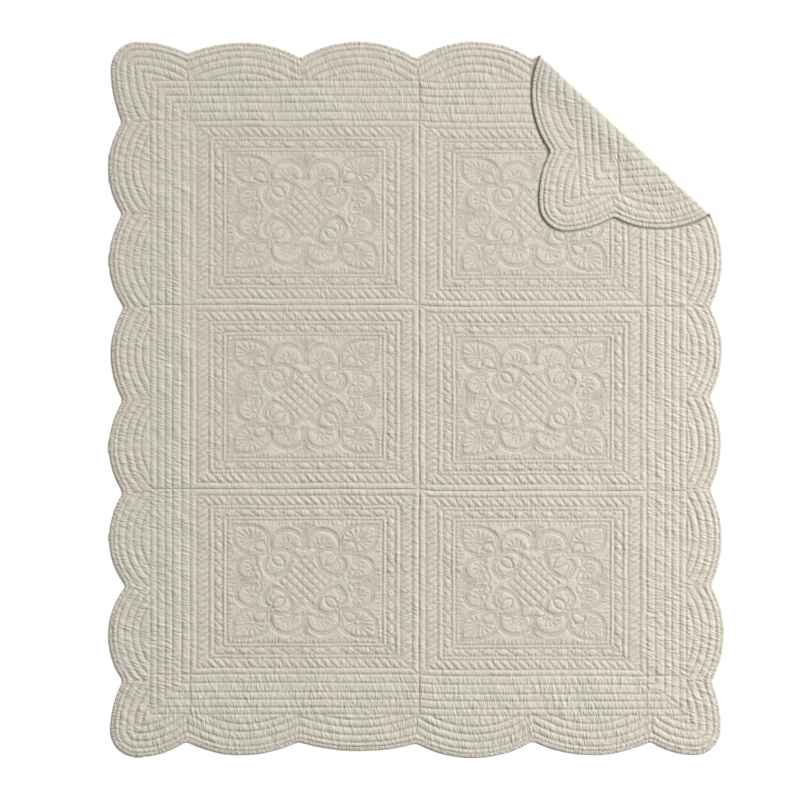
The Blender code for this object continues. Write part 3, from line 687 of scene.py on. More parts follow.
def leaf_strokes():
    """Corner leaf: double pointed outline, a bud in it and veins from the bud to the outline."""
    base, tip = np.array(NODE_AT), np.array(LEAF_TIP)
    lower = [(leaf_outline(inset), OUTLINE) for inset in (0.0, DOUBLE_LINE)]
    rim = leaf_outline(2.0 * DOUBLE_LINE)
    for share in LEAF_VEINS:
        end = place_along(rim, share)
        start = base + (tip - base) * (VEIN_FOOT + VEIN_CLIMB * share)
        start = start + VEIN_GAP * (end - start)
        middle = (start + end) / 2 + VEIN_BEND * (1.0 - share) * (tip - base)
        lower.append((np.array([start, middle, end]), VEIN))
    bud = []
    for t in np.linspace(0.0, 1.0, 9):
        along = base + (tip - base) * (BUD_FROM + BUD_RUN * t)
        wide = BUD_WIDTH * t * math.sqrt(1.0 - t)
        bud.append((along[0] + BUD_ASIDE[0] * wide, along[1] - BUD_ASIDE[1] * wide))
    lower.append((np.array(bud), OUTLINE))
    strokes = []
    for line, sewing in lower:
        share = (line - base) / (tip - base)
        strokes += [Stroke(line, sewing), Stroke(base + share[:, ::-1] * (tip - base), sewing)]
    return strokes


def oval(centre, half, angles):
    """Points of an oval at the given angles."""
    return [(centre[0] + half[0] * math.cos(a), centre[1] + half[1] * math.sin(a)) for a in angles]


def lobe_strokes(lobe):
    """Round lobe: a double arch, open to the block's middle, and an oval with petals in it."""
    (cx, cy), (rx, ry) = lobe["at"], lobe["half"]
    facing = math.radians(lobe["opens"] + 180.0)
    angles = facing + np.radians(np.linspace(-LOBE_TURN, LOBE_TURN, 21))
    strokes = []
    for inset in (0.0, DOUBLE_LINE):
        strokes.append(Stroke(oval((cx, cy), (rx - inset, ry - inset), angles), OUTLINE))
    heart = (cx - OVAL_BACK * rx * math.cos(facing), cy - OVAL_BACK * ry * math.sin(facing))
    strokes.append(Stroke(oval(heart, OVAL_HALF, np.linspace(0.0, 2 * math.pi, 11)), VEIN))
    for k in range(PETAL_COUNT):
        turn = math.radians(PETAL_TURN * (k - PETAL_COUNT // 2))
        far = PETAL_FAR + PETAL_GROWTH * math.cos(turn)
        bends = ((PETAL_NEAR, 0.0), ((PETAL_NEAR + far) / 2, PETAL_BEND), (far, 0.0))
        petal = [oval(heart, (out, out), [facing + turn + bend])[0] for out, bend in bends]
        strokes.append(Stroke(petal, VEIN))
    return strokes


def heart_strokes():
    """Between a node and the diamond: a small petal, the stems and the double line round it."""
    node = np.array(NODE_AT)
    inward = -node / np.linalg.norm(node)
    aside = np.array([-inward[1], inward[0]])
    petal = []
    for t in np.linspace(0.0, 1.0, 9):
        wide = TEAR_WIDTH * math.sin(math.pi * t) ** TEAR_FULLNESS
        petal.append((TEAR_FROM + TEAR_RUN * t, wide))
    petal += [(run, -wide) for run, wide in reversed(petal[:-1])]
    outline = [tuple(node + inward * run + aside * wide) for run, wide in petal]
    strokes = [Stroke(outline, OUTLINE)]
    strokes += [Stroke(list(points), sewing) for points, sewing in STEMS]
    for radius in (ARC_RADIUS, ARC_RADIUS + DOUBLE_LINE):
        arc = []
        for degrees in np.linspace(-ARC_TURN, ARC_TURN, 11):
            angle = math.radians(degrees)
            way = inward * math.cos(angle) + aside * math.sin(angle)
            arc.append(tuple(node + radius * way))
        strokes.append(Stroke(arc, OUTLINE))
    return strokes


def fan_strokes():
    """Small fans at the middles of the field's sides, half of each."""
    strokes = []
    for k in range(FAN_RAYS):
        spread = FAN_TIP * k
        for (foot, middle, tip), bend, upright in FANS:
            ray = [(FAN_FOOT * k, foot), (bend * spread, middle), (spread, tip - FAN_FALL * k)]
            strokes.append(Stroke(ray if upright else [place[::-1] for place in ray], VEIN))
    return strokes


def diamond_strokes():
    """Cross-hatched diamond, deeper one way than the other."""
    half_x, half_y = DIAMOND_HALF
    n = DIAMOND_CELLS

    def at(s, t):
        return (half_x * (s - t), half_y * (s + t - 1.0))

    strokes = [Stroke([at(i / n, 0.0), at(i / n, 1.0)], HATCH) for i in range(n + 1)]
    strokes += [Stroke([at(0.0, i / n), at(1.0, i / n)], CROSS_HATCH) for i in range(n + 1)]
    return strokes


def tick_strokes(half, chance):
    """Short gathers inward from the field's border."""
    strokes = []
    for axis, ranges in enumerate(TICKS):
        out, along = half[axis], half[1 - axis]
        for k in range(round(2 * along / TICK_PITCH)):
            at = -along + TICK_PITCH * (k + chance.uniform(*TICK_STRAY))
            for side in (1.0, -1.0):
                length = chance.uniform(*ranges["length"])
                slant = chance.uniform(*ranges["slant"])
                tick = [(side * out, at), (side * (out - length), at + slant)]
                strokes.append(Stroke([place[::-1] for place in tick] if axis else tick, TICK))
    return strokes


def moved(strokes, centre, mirror=(1, 1)):
    """Strokes mirrored about the middle, and then moved to a centre."""
    return [Stroke(np.array(points) * mirror + centre, sewing) for points, sewing in strokes]


def medallion_strokes(centre):
    """The whole medallion: one quarter, mirrored over both of the block's middles."""
    quarter = leaf_strokes() + heart_strokes() + fan_strokes()
    for lobe in LOBES:
        quarter += lobe_strokes(lobe)
    strokes = []
    for mirror in ((1, 1), (-1, 1), (-1, -1), (1, -1)):
        strokes += moved(quarter, centre, mirror)
    return strokes + moved(diamond_strokes(), centre)


def block_strokes(box, chance):
    """All quilting of one block, from its edge to its medallion."""
    strokes = [box_stroke(box, SEWN)]
    outer = box
    for name, across, along in zip(BAND_NAMES, BANDS_ACROSS, BANDS_ALONG):
        inner = shrink(outer, across, along)
        if name == "ribs":
            strokes += rib_strokes(outer, inner)
        elif name == "cable":
            strokes += cable_strokes(outer, inner)
        strokes.append(box_stroke(inner, SEWN))
        outer = inner
    x0, y0, x1, y1 = box
    fx0, fy0, fx1, fy1 = outer
    mitres = (
        [(x1, y0), (fx1, fy0)],
        [(x0, y1), (fx0, fy1)],
        [(x0, y0), (fx0, fy0)],
        [(x1, y1), (fx1, fy1)],
    )
    for share, mitre in zip(MITRE_SHARES, mitres):
        strokes.append(Stroke(mitre, Sewing(SEWN.depth * share, RIB.reach)))
    centre = np.array([(x0 + x1) / 2, (y0 + y1) / 2])
    ticks = tick_strokes(((fx1 - fx0) / 2, (fy1 - fy0) / 2), chance)
    return strokes + moved(ticks, centre) + medallion_strokes(centre)


# Unevenness

def unevenness(p, q, cells):
    """Smooth chance values from -1 to 1 over two coordinates."""
    table = np.random.default_rng(cells.seed).uniform(-1.0, 1.0, (NOISE_CELLS, NOISE_CELLS))
    p, q = p / cells.size_p + cells.shift_p, q / cells.size_q + cells.shift_q
    i, j = np.floor(p).astype(int), np.floor(q).astype(int)
    s, t = p - i, q - j
    s, t = s * s * (3 - 2 * s), t * t * (3 - 2 * t)
    i0, i1 = i % NOISE_CELLS, (i + 1) % NOISE_CELLS
    j0, j1 = j % NOISE_CELLS, (j + 1) % NOISE_CELLS
    low = table[i0, j0] * (1 - s) + table[i1, j0] * s
    high = table[i0, j1] * (1 - s) + table[i1, j1] * s
    return low * (1 - t) + high * t


def fade(value, low, high):
    """Smooth step from 0 at the first value to 1 at the second."""
    share = np.clip((value - low) / (high - low), 0.0, 1.0)
    return share * share * (3 - 2 * share)


def creases(p, q, cells):
    """Sharp small valleys, from -1 in them to about 1 between them."""
    return CREASE_STEEPNESS * np.abs(unevenness(p, q, cells)) - 1.0


def two_sizes(kind, p, q, cells, fine_share):
    """Unevenness or creases in wide cells, with a share of the same in fine cells."""
    wide, fine = cells
    return kind(p, q, wide) + fine_share * kind(p, q, fine)


def strayed(points, drift):
    """Plan points moved a little, as hand-guided sewing strays."""
    x, y = points[:, 0], points[:, 1]
    shifts = [two_sizes(unevenness, x, y, cells, STRAY_FINE) for cells in STRAY_CELLS]
    return points + drift * np.column_stack(shifts)


# Turned corner

def turn_axes():
    """Unit vectors along the turned edge and out past it, and the edge's distance out."""
    (ax, ay), (bx, by) = TURN_FROM, TURN_TO
    length = math.hypot(bx - ax, by - ay)
    along = np.array([(bx - ax) / length, (by - ay) / length])
    out = np.array([-along[1], along[0]])
    return along, out, float(out @ np.array(TURN_FROM))


def turn_section():
    """Rows across the turn: run of cloth, place out, height, and the cloth's normal."""
    slope = math.atan((2 * TURN_RADIUS - FLAP_HEIGHT) / (SLOPE_RUN + EASE_RUN / 2))
    runs = np.arange(0.0, SECTION_RUN, SECTION_STEP)
    arc = TURN_RADIUS * (math.pi + slope)
    heading = np.minimum(runs / TURN_RADIUS, math.pi + slope)
    heading -= slope * np.clip((runs - arc - SLOPE_RUN) / EASE_RUN, 0.0, 1.0)
    middle = (heading[1:] + heading[:-1]) / 2
    out = np.concatenate([[0.0], np.cumsum(np.cos(middle) * SECTION_STEP)])
    up = np.concatenate([[0.0], np.cumsum(np.sin(middle) * SECTION_STEP)])
    rows = np.column_stack([runs, out, up, -np.sin(heading), np.cos(heading)])
    before = np.array([[-SECTION_RUN * 10, -SECTION_RUN * 10, 0.0, 0.0, 1.0]])
    return np.vstack([before, rows])


TURN_ALONG, TURN_OUT, TURN_AT = turn_axes()
ROUND_START = TURN_RADIUS * math.tan(math.pi / TURN_STEPS / 2)
TURN_START = TURN_AT - TURN_RADIUS - ROUND_START
SECTION = turn_section()
FLAP_FROM = TURN_RADIUS * math.pi


def past_turn(points):
    """Distance of flat points past the line where the cloth starts to turn."""
    return points[:, :2] @ TURN_OUT - TURN_START


def fold_over(points, levels):
    """Moves flat cloth to where the turned cloth holds it."""
    run = past_turn(points)
    out, up, normal_out, normal_up = (
        np.interp(run, SECTION[:, 0], SECTION[:, i]) for i in range(1, 5))
    along = points @ TURN_ALONG
    plan = np.outer(along, TURN_ALONG) + np.outer(TURN_START + out + levels * normal_out, TURN_OUT)
    return np.column_stack([plan, up + levels * normal_up])


def flap_outline():
    """Plan outline of the turned corner where it lies on the throw."""
    flap = EDGE_POINTS[past_turn(EDGE_POINTS) > FLAP_FROM]
    start = np.flatnonzero(np.linalg.norm(np.diff(flap, axis=0), axis=1) > 2 * EDGE_STEP)
    if len(start):
        flap = np.roll(flap, -(start[0] + 1), axis=0)
    return fold_over(flap, np.zeros(len(flap)))[:, :2]


def inside(points, polygon):
    """Even and odd crossings tell which points lie inside a closed polygon."""
    result = np.zeros(len(points), dtype=bool)
    x, y = points[:, 0], points[:, 1]
    for (ax, ay), (bx, by) in zip(polygon, np.roll(polygon, -1, axis=0)):
        if ay == by:
            continue
        crosses = (ay > y) != (by > y)
        result ^= crosses & (x < ax + (y - ay) * (bx - ax) / (by - ay))
    return result


def nearest_on(ring, points):
    """Nearest places on a closed line to the given points."""
    start, span = ring, np.roll(ring, -1, axis=0) - ring
    offset = points[:, None, :] - start[None, :, :]
    share = np.clip((offset * span).sum(axis=2) / (span ** 2).sum(axis=1), 0.0, 1.0)
    places = start[None, :, :] + share[:, :, None] * span[None, :, :]
    best = ((points[:, None, :] - places) ** 2).sum(axis=2).argmin(axis=1)
    return places[np.arange(len(points)), best]


# Quilted grid

def grid_lines(stops, step):
    """Grid lines through every stop, evenly spaced between each two."""
    lines = []
    for a, b in zip(stops, stops[1:]):
        count = max(round((b - a) / step), 1)
        lines += [a + (b - a) * i / count for i in range(count)]
    return np.array(lines + [stops[-1]])


def grid_stops(low, high, frame_low, frame_high, block_edges, bands):
    """Every place where a straight line of the quilting crosses one direction of the grid."""
    stops = {low, high}
    inset = 0.0
    for channel in (0.0, *FRAME_CHANNELS):
        inset += channel
        stops |= {frame_low + inset, frame_high - inset}
    for a, b in zip(block_edges, block_edges[1:]):
        inset = 0.0
        for band in (0.0, *bands):
            inset += band
            stops |= {a + inset, b - inset}
    ordered = sorted(stops)
    return [a for a, b in zip(ordered, ordered[1:] + [ordered[-1] + 1.0]) if b - a > 1e-5]


class QuiltedGrid:
    """The flat cloth's grid, with how deeply the sewing draws each point into the padding."""

    def __init__(self, step):
        x0, y0, x1, y1 = frame_box(0.0)
        bx0, _, bx1, _ = frame_box(sum(FRAME_CHANNELS))
        low, high = -LENGTH / 2, LENGTH / 2 + RIGHT_DROP
        across = grid_stops(-WIDTH / 2, WIDTH / 2, x0, x1, (bx0, SEAM_X, bx1), BANDS_ACROSS)
        along = grid_stops(low, high, y0, y1, ROW_EDGES, BANDS_ALONG)
        self.across, self.along = grid_lines(across, step), grid_lines(along, step)
        self.dent = np.zeros((len(self.along), len(self.across)))

    def window(self, low, high):
        """Index range of the grid between two corners."""
        i0, i1 = np.searchsorted(self.across, (low[0], high[0]))
        j0, j1 = np.searchsorted(self.along, (low[1], high[1]))
        return slice(j0, j1), slice(i0, i1)

    def press(self, target, points, sewing):
        """Presses one line of sewing into a field of the grid."""
        points = np.asarray(points, dtype=float)
        for a, b in zip(points, points[1:]):
            low, high = np.minimum(a, b) - sewing.reach, np.maximum(a, b) + sewing.reach
            rows, columns = self.window(low, high)
            x = self.across[columns][None, :] - a[0]
            y = self.along[rows][:, None] - a[1]
            if not x.size or not y.size:
                continue
            dx, dy = b - a
            share = np.clip((x * dx + y * dy) / max(dx * dx + dy * dy, 1e-12), 0.0, 1.0)
            away = np.hypot(x - share * dx, y - share * dy) / sewing.reach
            dent = sewing.depth * np.clip(1.0 - away, 0.0, None) ** 2
            target[rows, columns] = np.maximum(target[rows, columns], dent)

    def plan(self, rows, columns):
        """Plan places of chosen rows and columns."""
        x, v = np.meshgrid(self.across[columns], self.along[rows])
        return np.stack([x, v - dropped(x)], axis=2)


def border_puckers(grid):
    """Small gathers across the channels, steeper along each side's own direction."""
    x, y = np.meshgrid(grid.across, grid.along)
    side_x = np.minimum(x + WIDTH / 2, WIDTH / 2 - x)
    side_y = np.minimum(y + LENGTH / 2, LENGTH / 2 - y)
    upright = fade(side_y - side_x, -BORDER_MITRE, BORDER_MITRE)
    on_sides = two_sizes(creases, y + SIDE_LEAN * x, x, SIDE_CELLS, BORDER_FINE)
    on_ends = two_sizes(creases, x + END_LEAN * y, y, END_CELLS, BORDER_FINE)
    middle, spread = BORDER_STRENGTH
    strength = middle + spread * unevenness(x, y, BORDER_CELLS)
    gathers = strength * (on_sides * upright + on_ends * (1.0 - upright)) / BORDER_SHARE
    return gathers, upright, np.full_like(upright, PULL["border"])


def block_puckers(grid, box):
    """Gathers inside one block: across its bands, and all ways in its field."""
    rows, columns = grid.window(box[:2], box[2:])
    x, y = np.meshgrid(grid.across[columns], grid.along[rows])
    ring_x = np.minimum(x - box[0], box[2] - x) / sum(BANDS_ACROSS)
    ring_y = np.minimum(y - box[1], box[3] - y) / sum(BANDS_ALONG)
    upright = fade(ring_y - ring_x, -BLOCK_MITRE, BLOCK_MITRE)
    on_sides = creases(y + BAND_LEANS[0] * x, x, BAND_CELLS[0])
    on_ends = creases(x + BAND_LEANS[1] * y, y, BAND_CELLS[1])
    bands = on_sides * upright + on_ends * (1.0 - upright)
    field = FIELD_SHARE * creases(x, y, FIELD_CELLS)
    inner = fade(np.minimum(ring_x, ring_y), *FIELD_FADE)
    middle, spread = BLOCK_STRENGTH
    strength = middle + spread * unevenness(x, y, BLOCK_CELLS)
    gathers = strength * (bands * (1.0 - inner) + field * inner) * BLOCK_SHARE
    pull = PULL["bands"] + (PULL["field"] - PULL["bands"]) * inner
    return rows, columns, (gathers, upright * (1.0 - inner) + 0.5 * inner, pull)


def quilt_cloth(cloth):
    """Grid of the quilted face with its levels, as sewn and before it is turned over."""
    grid = QuiltedGrid(cloth.grid_step)
    chance = np.random.default_rng(5)
    for points, sewing in edge_strokes():
        grid.press(grid.dent, to_pattern(points), sewing)
    strokes = frame_strokes()
    for box in block_boxes():
        strokes += block_strokes(box, chance)
    for points, sewing in strokes:
        grid.press(grid.dent, points, sewing)
    x, y = np.meshgrid(grid.across, grid.along)
    fields = border_puckers(grid)
    for box in block_boxes():
        rows, columns, values = block_puckers(grid, box)
        for target, value in zip(fields, values):
            target[rows, columns] = value
    gathers, grid.upright, pull = fields
    tightness = SLACKEST + (1.0 - SLACKEST) * fade(x - SLACK_SLOPE * y, *SLACK_RUN)
    grid.pull = pull * tightness
    drawn = np.clip(grid.dent / SEWN.depth, 0.0, 1.0)
    tension = tightness * (1.0 + TENSION_SPREAD * unevenness(x, y, TENSION_CELLS))
    soft = two_sizes(unevenness, x, y, SWELL_CELLS, SWELL_FINE)
    puckers = cloth.pucker * tightness * gathers * (PUCKER_OPEN - PUCKER_SEWN * drawn)
    grid.quilt = CREST - grid.dent * tension + puckers
    grid.quilt += cloth.swell * soft * (1.0 - SWELL_SEWN * drawn)
    # How far each point is drawn in by the sewing: it sets the painted shade and dirt along the
    # seams
    grid.sewn = drawn ** SEAM_NARROWING
    rim = np.zeros_like(grid.dent)
    grid.press(rim, to_pattern(closed(EDGE_POINTS)), Sewing(1.0, RIM_END))
    grid.rim = RIM_END * (1.0 - np.sqrt(rim))
    grid.level = lay_level(grid)
    return grid


def lay_level(grid):
    """Levels of the face as it lies: thin in the binding, plain in and under the turned corner."""
    quilted = np.clip(grid.quilt, LOWEST, None)
    level = RIM_FACE + (quilted - RIM_FACE) * fade(grid.rim, RIM_RISE, RIM_END)
    near = np.zeros_like(grid.dent)
    outline = flap_outline()
    grid.press(near, to_pattern(outline), Sewing(1.0, FLAP_FADE))
    places = grid.plan(slice(None), slice(None)).reshape(-1, 2)
    below = np.zeros(len(places), dtype=bool)
    close = np.all((places > outline.min(axis=0)) & (places < outline.max(axis=0)), axis=1)
    below[close] = inside(places[close], outline)
    covered = np.where(below.reshape(near.shape), 1.0, fade(np.sqrt(near), *NEAR_FADE))
    turned = fade(past_turn(places), *TURN_FADE).reshape(near.shape)
    return level + (np.minimum(PLAIN, level) - level) * np.maximum(covered, turned)


# Meshes

def make_mesh(name, places, faces, attributes):
    """Mesh object from arrays of places, quads and values for each point."""
    mesh = bpy.data.meshes.new(name)
    mesh.vertices.add(len(places))
    mesh.vertices.foreach_set("co", places.astype(np.float32).ravel())
    mesh.loops.add(faces.size)
    mesh.loops.foreach_set("vertex_index", faces.astype(np.int32).ravel())
    mesh.polygons.add(len(faces))
    starts = np.arange(0, faces.size, faces.shape[1], dtype=np.int32)
    mesh.polygons.foreach_set("loop_start", starts)
    mesh.update(calc_edges=True)
    mesh.shade_smooth()
    for label, values in attributes.items():
        kind, field = ("FLOAT_VECTOR", "vector") if values.ndim == 2 else ("FLOAT", "value")
        stored = mesh.attributes.new(label, kind, "POINT")
        stored.data.foreach_set(field, values.astype(np.float32).ravel())
    mesh.validate()
    piece = bpy.data.objects.new(name, mesh)
    bpy.context.scene.collection.objects.link(piece)
    return piece


def cloth_patch(grid, rows, columns):
    """Points and quads of part of the grid, cut to the cloth's edge.

    Returns the flat places, the row and column of each, the quads, and the flat area.
    """
    plan = grid.plan(rows, columns)
    middles = (plan[1:, 1:] + plan[:-1, :-1] + plan[1:, :-1] + plan[:-1, 1:]) / 4
    ring = edge_at(CLOTH_EDGE)
    flat = middles.reshape(-1, 2)
    x0, y0, x1, y1 = frame_box(0.0)
    kept = (flat[:, 0] > x0) & (flat[:, 0] < x1) & (flat[:, 1] > y0) & (flat[:, 1] < y1)
    kept[~kept] = inside(flat[~kept], ring)
    kept = kept.reshape(middles.shape[:2])
    uses = np.zeros(plan.shape[:2], dtype=int)
    cells = np.zeros_like(uses)
    for down in (0, 1):
        for right in (0, 1):
            part = (
                slice(down, uses.shape[0] - 1 + down),
                slice(right, uses.shape[1] - 1 + right),
            )
            uses[part] += kept
            cells[part] += 1
    used = uses > 0
    at_edge = used & (uses < cells)
    plan[at_edge] = nearest_on(ring, plan[at_edge])
    number = np.cumsum(used.ravel()).reshape(used.shape) - 1
    j, i = np.nonzero(kept)
    around = ((j, i), (j, i + 1), (j + 1, i + 1), (j + 1, i))
    faces = np.column_stack([number[place] for place in around])
    row, column = np.nonzero(used)
    corners = plan[used][faces]
    spans = corners - corners[:, :1]
    area = 0.0
    for a, b in ((1, 2), (2, 3)):
        cross = spans[:, a, 0] * spans[:, b, 1] - spans[:, a, 1] * spans[:, b, 0]
        area += 0.5 * abs(cross).sum()
    return plan[used], rows[row], columns[column], faces, float(area)


def surface_values(grid, flat, row, column):
    """What the material reads at each point: flat place, sewing (which sets the painted seam
    shade), the gathers' way and pull.
    """
    return {
        "flat": np.column_stack([flat, np.zeros(len(flat))]),
        "sewn": grid.sewn[row, column],
        "upright": grid.upright[row, column],
        "pull": grid.pull[row, column],
    }


# Materials

def cloth_material(name, colour, scene, relief):
    """Matt woven cotton: threads both ways, thicker places in them, crinkles and fine gathers, and
    painted shade with a little dirt along the sewn lines.
    """
    made = bpy.data.materials.new(name)
    made.use_nodes = True
    tree = made.node_tree
    nodes, link = tree.nodes, tree.links.new
    shader = nodes["Principled BSDF"]

    def stored(label, output="Fac"):
        node = nodes.new("ShaderNodeAttribute")
        node.attribute_name = label
        return node.outputs[output]

    flat = stored("flat", "Vector")

    def noise(scale, stretch=(1.0, 1.0, 1.0), detail=3.0, turn=0.0):
        mapping = nodes.new("ShaderNodeMapping")
        mapping.vector_type = "TEXTURE"
        mapping.inputs["Scale"].default_value = stretch
        mapping.inputs["Rotation"].default_value = (0.0, 0.0, math.radians(turn))
        link(flat, mapping.inputs["Vector"])
        texture = nodes.new("ShaderNodeTexNoise")
        texture.inputs["Scale"].default_value = scale
        texture.inputs["Detail"].default_value = detail
        link(mapping.outputs["Vector"], texture.inputs["Vector"])
        return texture.outputs["Fac"]

    # At scale 1 the bands of a wave texture repeat every pi / 10.
    def threads(direction):
        wave = nodes.new("ShaderNodeTexWave")
        wave.bands_direction = direction
        wave.inputs["Scale"].default_value = math.pi / (10.0 * scene.throw_cloth.weave_pitch)
        wave.inputs["Distortion"].default_value = 0.6
        wave.inputs["Detail Scale"].default_value = 2.0
        link(flat, wave.inputs["Vector"])
        return wave.outputs["Fac"]

    def math_node(operation, *given):
        node = nodes.new("ShaderNodeMath")
        node.operation = operation
        for socket, value in zip(node.inputs, given):
            if isinstance(value, float):
                socket.default_value = value
            else:
                link(value, socket)
        return node.outputs["Value"]

    def mix(factor, first, second, blend="MIX"):
        node = nodes.new("ShaderNodeMixRGB")
        node.blend_type = blend
        for socket, given in zip(node.inputs, (factor, first, second)):
            if isinstance(given, tuple):
                socket.default_value = (*given, 1.0)
            else:
                link(given, socket)
        return node.outputs["Color"]

    def bump(height, strength, distance, normal=None):
        node = nodes.new("ShaderNodeBump")
        node.inputs["Strength"].default_value = strength
        node.inputs["Distance"].default_value = distance
        link(height, node.inputs["Height"])
        if normal is not None:
            link(normal, node.inputs["Normal"])
        return node.outputs["Normal"]

    weave = math_node("MULTIPLY", threads("X"), threads("Y"))
    slubs = math_node("ADD", *(noise(1.0, stretch, 2.0) for stretch in SLUBS))
    crinkles = noise(CRINKLE_SCALE, detail=4.0)
    ridges = []
    for stretch, turn in PLEATS:
        apart = math_node("SUBTRACT", noise(1.0, stretch, 1.5, turn), 0.5)
        steep = math_node("MULTIPLY", math_node("ABSOLUTE", apart), PLEAT_SHARPNESS)
        ridges.append(math_node("MINIMUM", steep, 1.0))
    pleats = mix(stored("upright"), *ridges)
    uneven = math_node("MULTIPLY", pleats, noise(PLEAT_SCALE, detail=1.0))
    pulled = math_node("MULTIPLY", uneven, stored("pull"))
    normal = bump(pulled, 1.0, PLEAT_HEIGHT * relief.pleat)
    normal = bump(crinkles, CRINKLE_STRENGTH, relief.crinkle, normal)
    normal = bump(slubs, SLUB_STRENGTH, relief.slub, normal)
    normal = bump(weave, WEAVE_STRENGTH, WEAVE_HEIGHT, normal)
    link(normal, shader.inputs["Normal"])

    dark, light = (tuple(min(tone * c, 1.0) for c in colour) for tone in TONES)
    toned = mix(math_node("MULTIPLY_ADD", slubs, 0.5), dark, light)
    # Painted shade, with a little dirt, along the sewn lines: the colour is multiplied towards the
    # seam tint where the sewing draws the cloth in
    shade = math_node("MULTIPLY", stored("sewn"), float(scene.throw_colours.seam_shade))
    seam_shade_and_dirt = mix(shade, toned, SEAM_SHADE_AND_DIRT, "MULTIPLY")
    patchy = mix(noise(PATCH_SCALE, detail=2.0), seam_shade_and_dirt, PATCH_TINT, "MULTIPLY")
    link(patchy, shader.inputs["Base Color"])

    rough = nodes.new("ShaderNodeMapRange")
    rough.inputs["To Min"].default_value, rough.inputs["To Max"].default_value = ROUGHNESS
    link(crinkles, rough.inputs["Value"])
    link(rough.outputs["Result"], shader.inputs["Roughness"])
    for socket, value in COTTON.items():
        shader.inputs[socket].default_value = value
    return made


def dress(piece, material, node):
    """Gives a piece its cloth, hangs it under the root body and hides the solid it stands for."""
    piece.data.materials.append(material)
    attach(piece, "root")
    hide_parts(node)


# Pieces

class THROW_OT_quilted_face(Operator):
    """Adds the face, in the six parts that its long seams divide it into."""

    bl_idname = "throw.quilted_face"
    bl_label = "Quilted face"

    def execute(self, context):
        scene = context.scene
        cloth, colours = scene.throw_cloth, scene.throw_colours
        grid = GRIDS["cloth"] = quilt_cloth(cloth)
        material = cloth_material("ivory_cotton_face", colours.face, scene, WIDE_RELIEF)
        seam = int(np.argmin(abs(grid.across - SEAM_X)))
        splits_x = (0, seam, len(grid.across) - 1)
        row_seams = [int(np.argmin(abs(grid.along - y))) for y in ROW_EDGES[1:3]]
        splits_y = (0, *row_seams, len(grid.along) - 1)
        for name, (place_x, place_y) in PANELS.items():
            columns = np.arange(splits_x[place_x], splits_x[place_x + 1] + 1)
            rows = np.arange(splits_y[place_y], splits_y[place_y + 1] + 1)
            flat, row, column, faces, area = cloth_patch(grid, rows, columns)
            places = fold_over(strayed(flat, cloth.drift), grid.level[row, column])
            values = surface_values(grid, flat, row, column)
            piece = make_mesh(name, places, faces, values)
            dress(piece, material, "quilt_face")
        return {"FINISHED"}


class THROW_OT_backing(Operator):
    """Adds the backing: plain on the floor, and quilted where the turned corner shows it."""

    bl_idname = "throw.backing"
    bl_label = "Backing"

    def execute(self, context):
        scene = context.scene
        cloth, colours = scene.throw_cloth, scene.throw_colours
        grid = GRIDS["cloth"]
        material = cloth_material("ivory_cotton_backing", colours.back, scene, WIDE_RELIEF)
        columns, rows = (
            np.array([i for i, at in enumerate(lines) if at > fine or i % BACK_COARSE == 0])
            for lines, fine in zip((grid.across, grid.along), BACK_FINE_FROM)
        )
        flat, row, column, faces, area = cloth_patch(grid, rows, columns)
        level = RIM_BACK * (1.0 - fade(grid.rim[row, column], RIM_FLAT, RIM_END))
        shown = fade(past_turn(flat), *(share * FLAP_FROM for share in BACK_SHOWS))
        relief = (SEWN_LEVEL - grid.quilt[row, column]) * BACK_SHARE
        level += relief * shown * fade(grid.rim[row, column], RIM_RISE, RIM_END)
        places = fold_over(strayed(flat, cloth.drift), level)
        values = surface_values(grid, flat, row, column)
        piece = make_mesh("backing", places, faces[:, ::-1], values)
        dress(piece, material, "quilt_back")
        return {"FINISHED"}


class THROW_OT_binding(Operator):
    """Adds the binding: one strip folded round the whole scalloped edge."""

    bl_idname = "throw.binding"
    bl_label = "Binding"

    def execute(self, context):
        scene = context.scene
        cloth, colours = scene.throw_cloth, scene.throw_colours
        material = cloth_material("ivory_cotton_binding", colours.binding, scene, STRIP_RELIEF)
        count, rows = len(EDGE_POINTS), len(BINDING_SECTION)
        run = EDGE_STEP * np.arange(count)
        flat, levels, sewn, strip = [], [], [], []
        for depth, level in BINDING_SECTION:
            gather = creases(run, np.full(count, depth), BINDING_CELLS)
            gather *= BINDING_GATHER * fade(depth, *BINDING_GATHER_RUN)
            on_face = level > BINDING_FACE_FROM
            flat.append(edge_at(depth))
            levels.append(level + gather * on_face)
            # The binding's seam line gets the same painted shade and dirt as the quilting's seams
            sewn.append(np.full(count, float(BINDING_SEAM[0] < depth < BINDING_SEAM[1])))
            across = np.full(count, depth if on_face else depth + BINDING_BACK_SHIFT)
            strip.append(np.column_stack([run, across, np.zeros(count)]))
        flat, levels = np.vstack(flat), np.concatenate(levels)
        index = np.arange(rows * count).reshape(rows, count)
        after = np.roll(index, -1, axis=1)
        faces = np.stack([index[:-1], index[1:], after[1:], after[:-1]], axis=2).reshape(-1, 4)
        places = fold_over(strayed(flat, cloth.drift), levels)
        values = {
            "flat": np.vstack(strip),
            "sewn": np.concatenate(sewn),
            "upright": np.zeros(len(flat)),
            "pull": np.full(len(flat), PULL["border"]),
        }
        piece = make_mesh("binding", places, faces, values)
        dress(piece, material, "edge_binding")
        return {"FINISHED"}


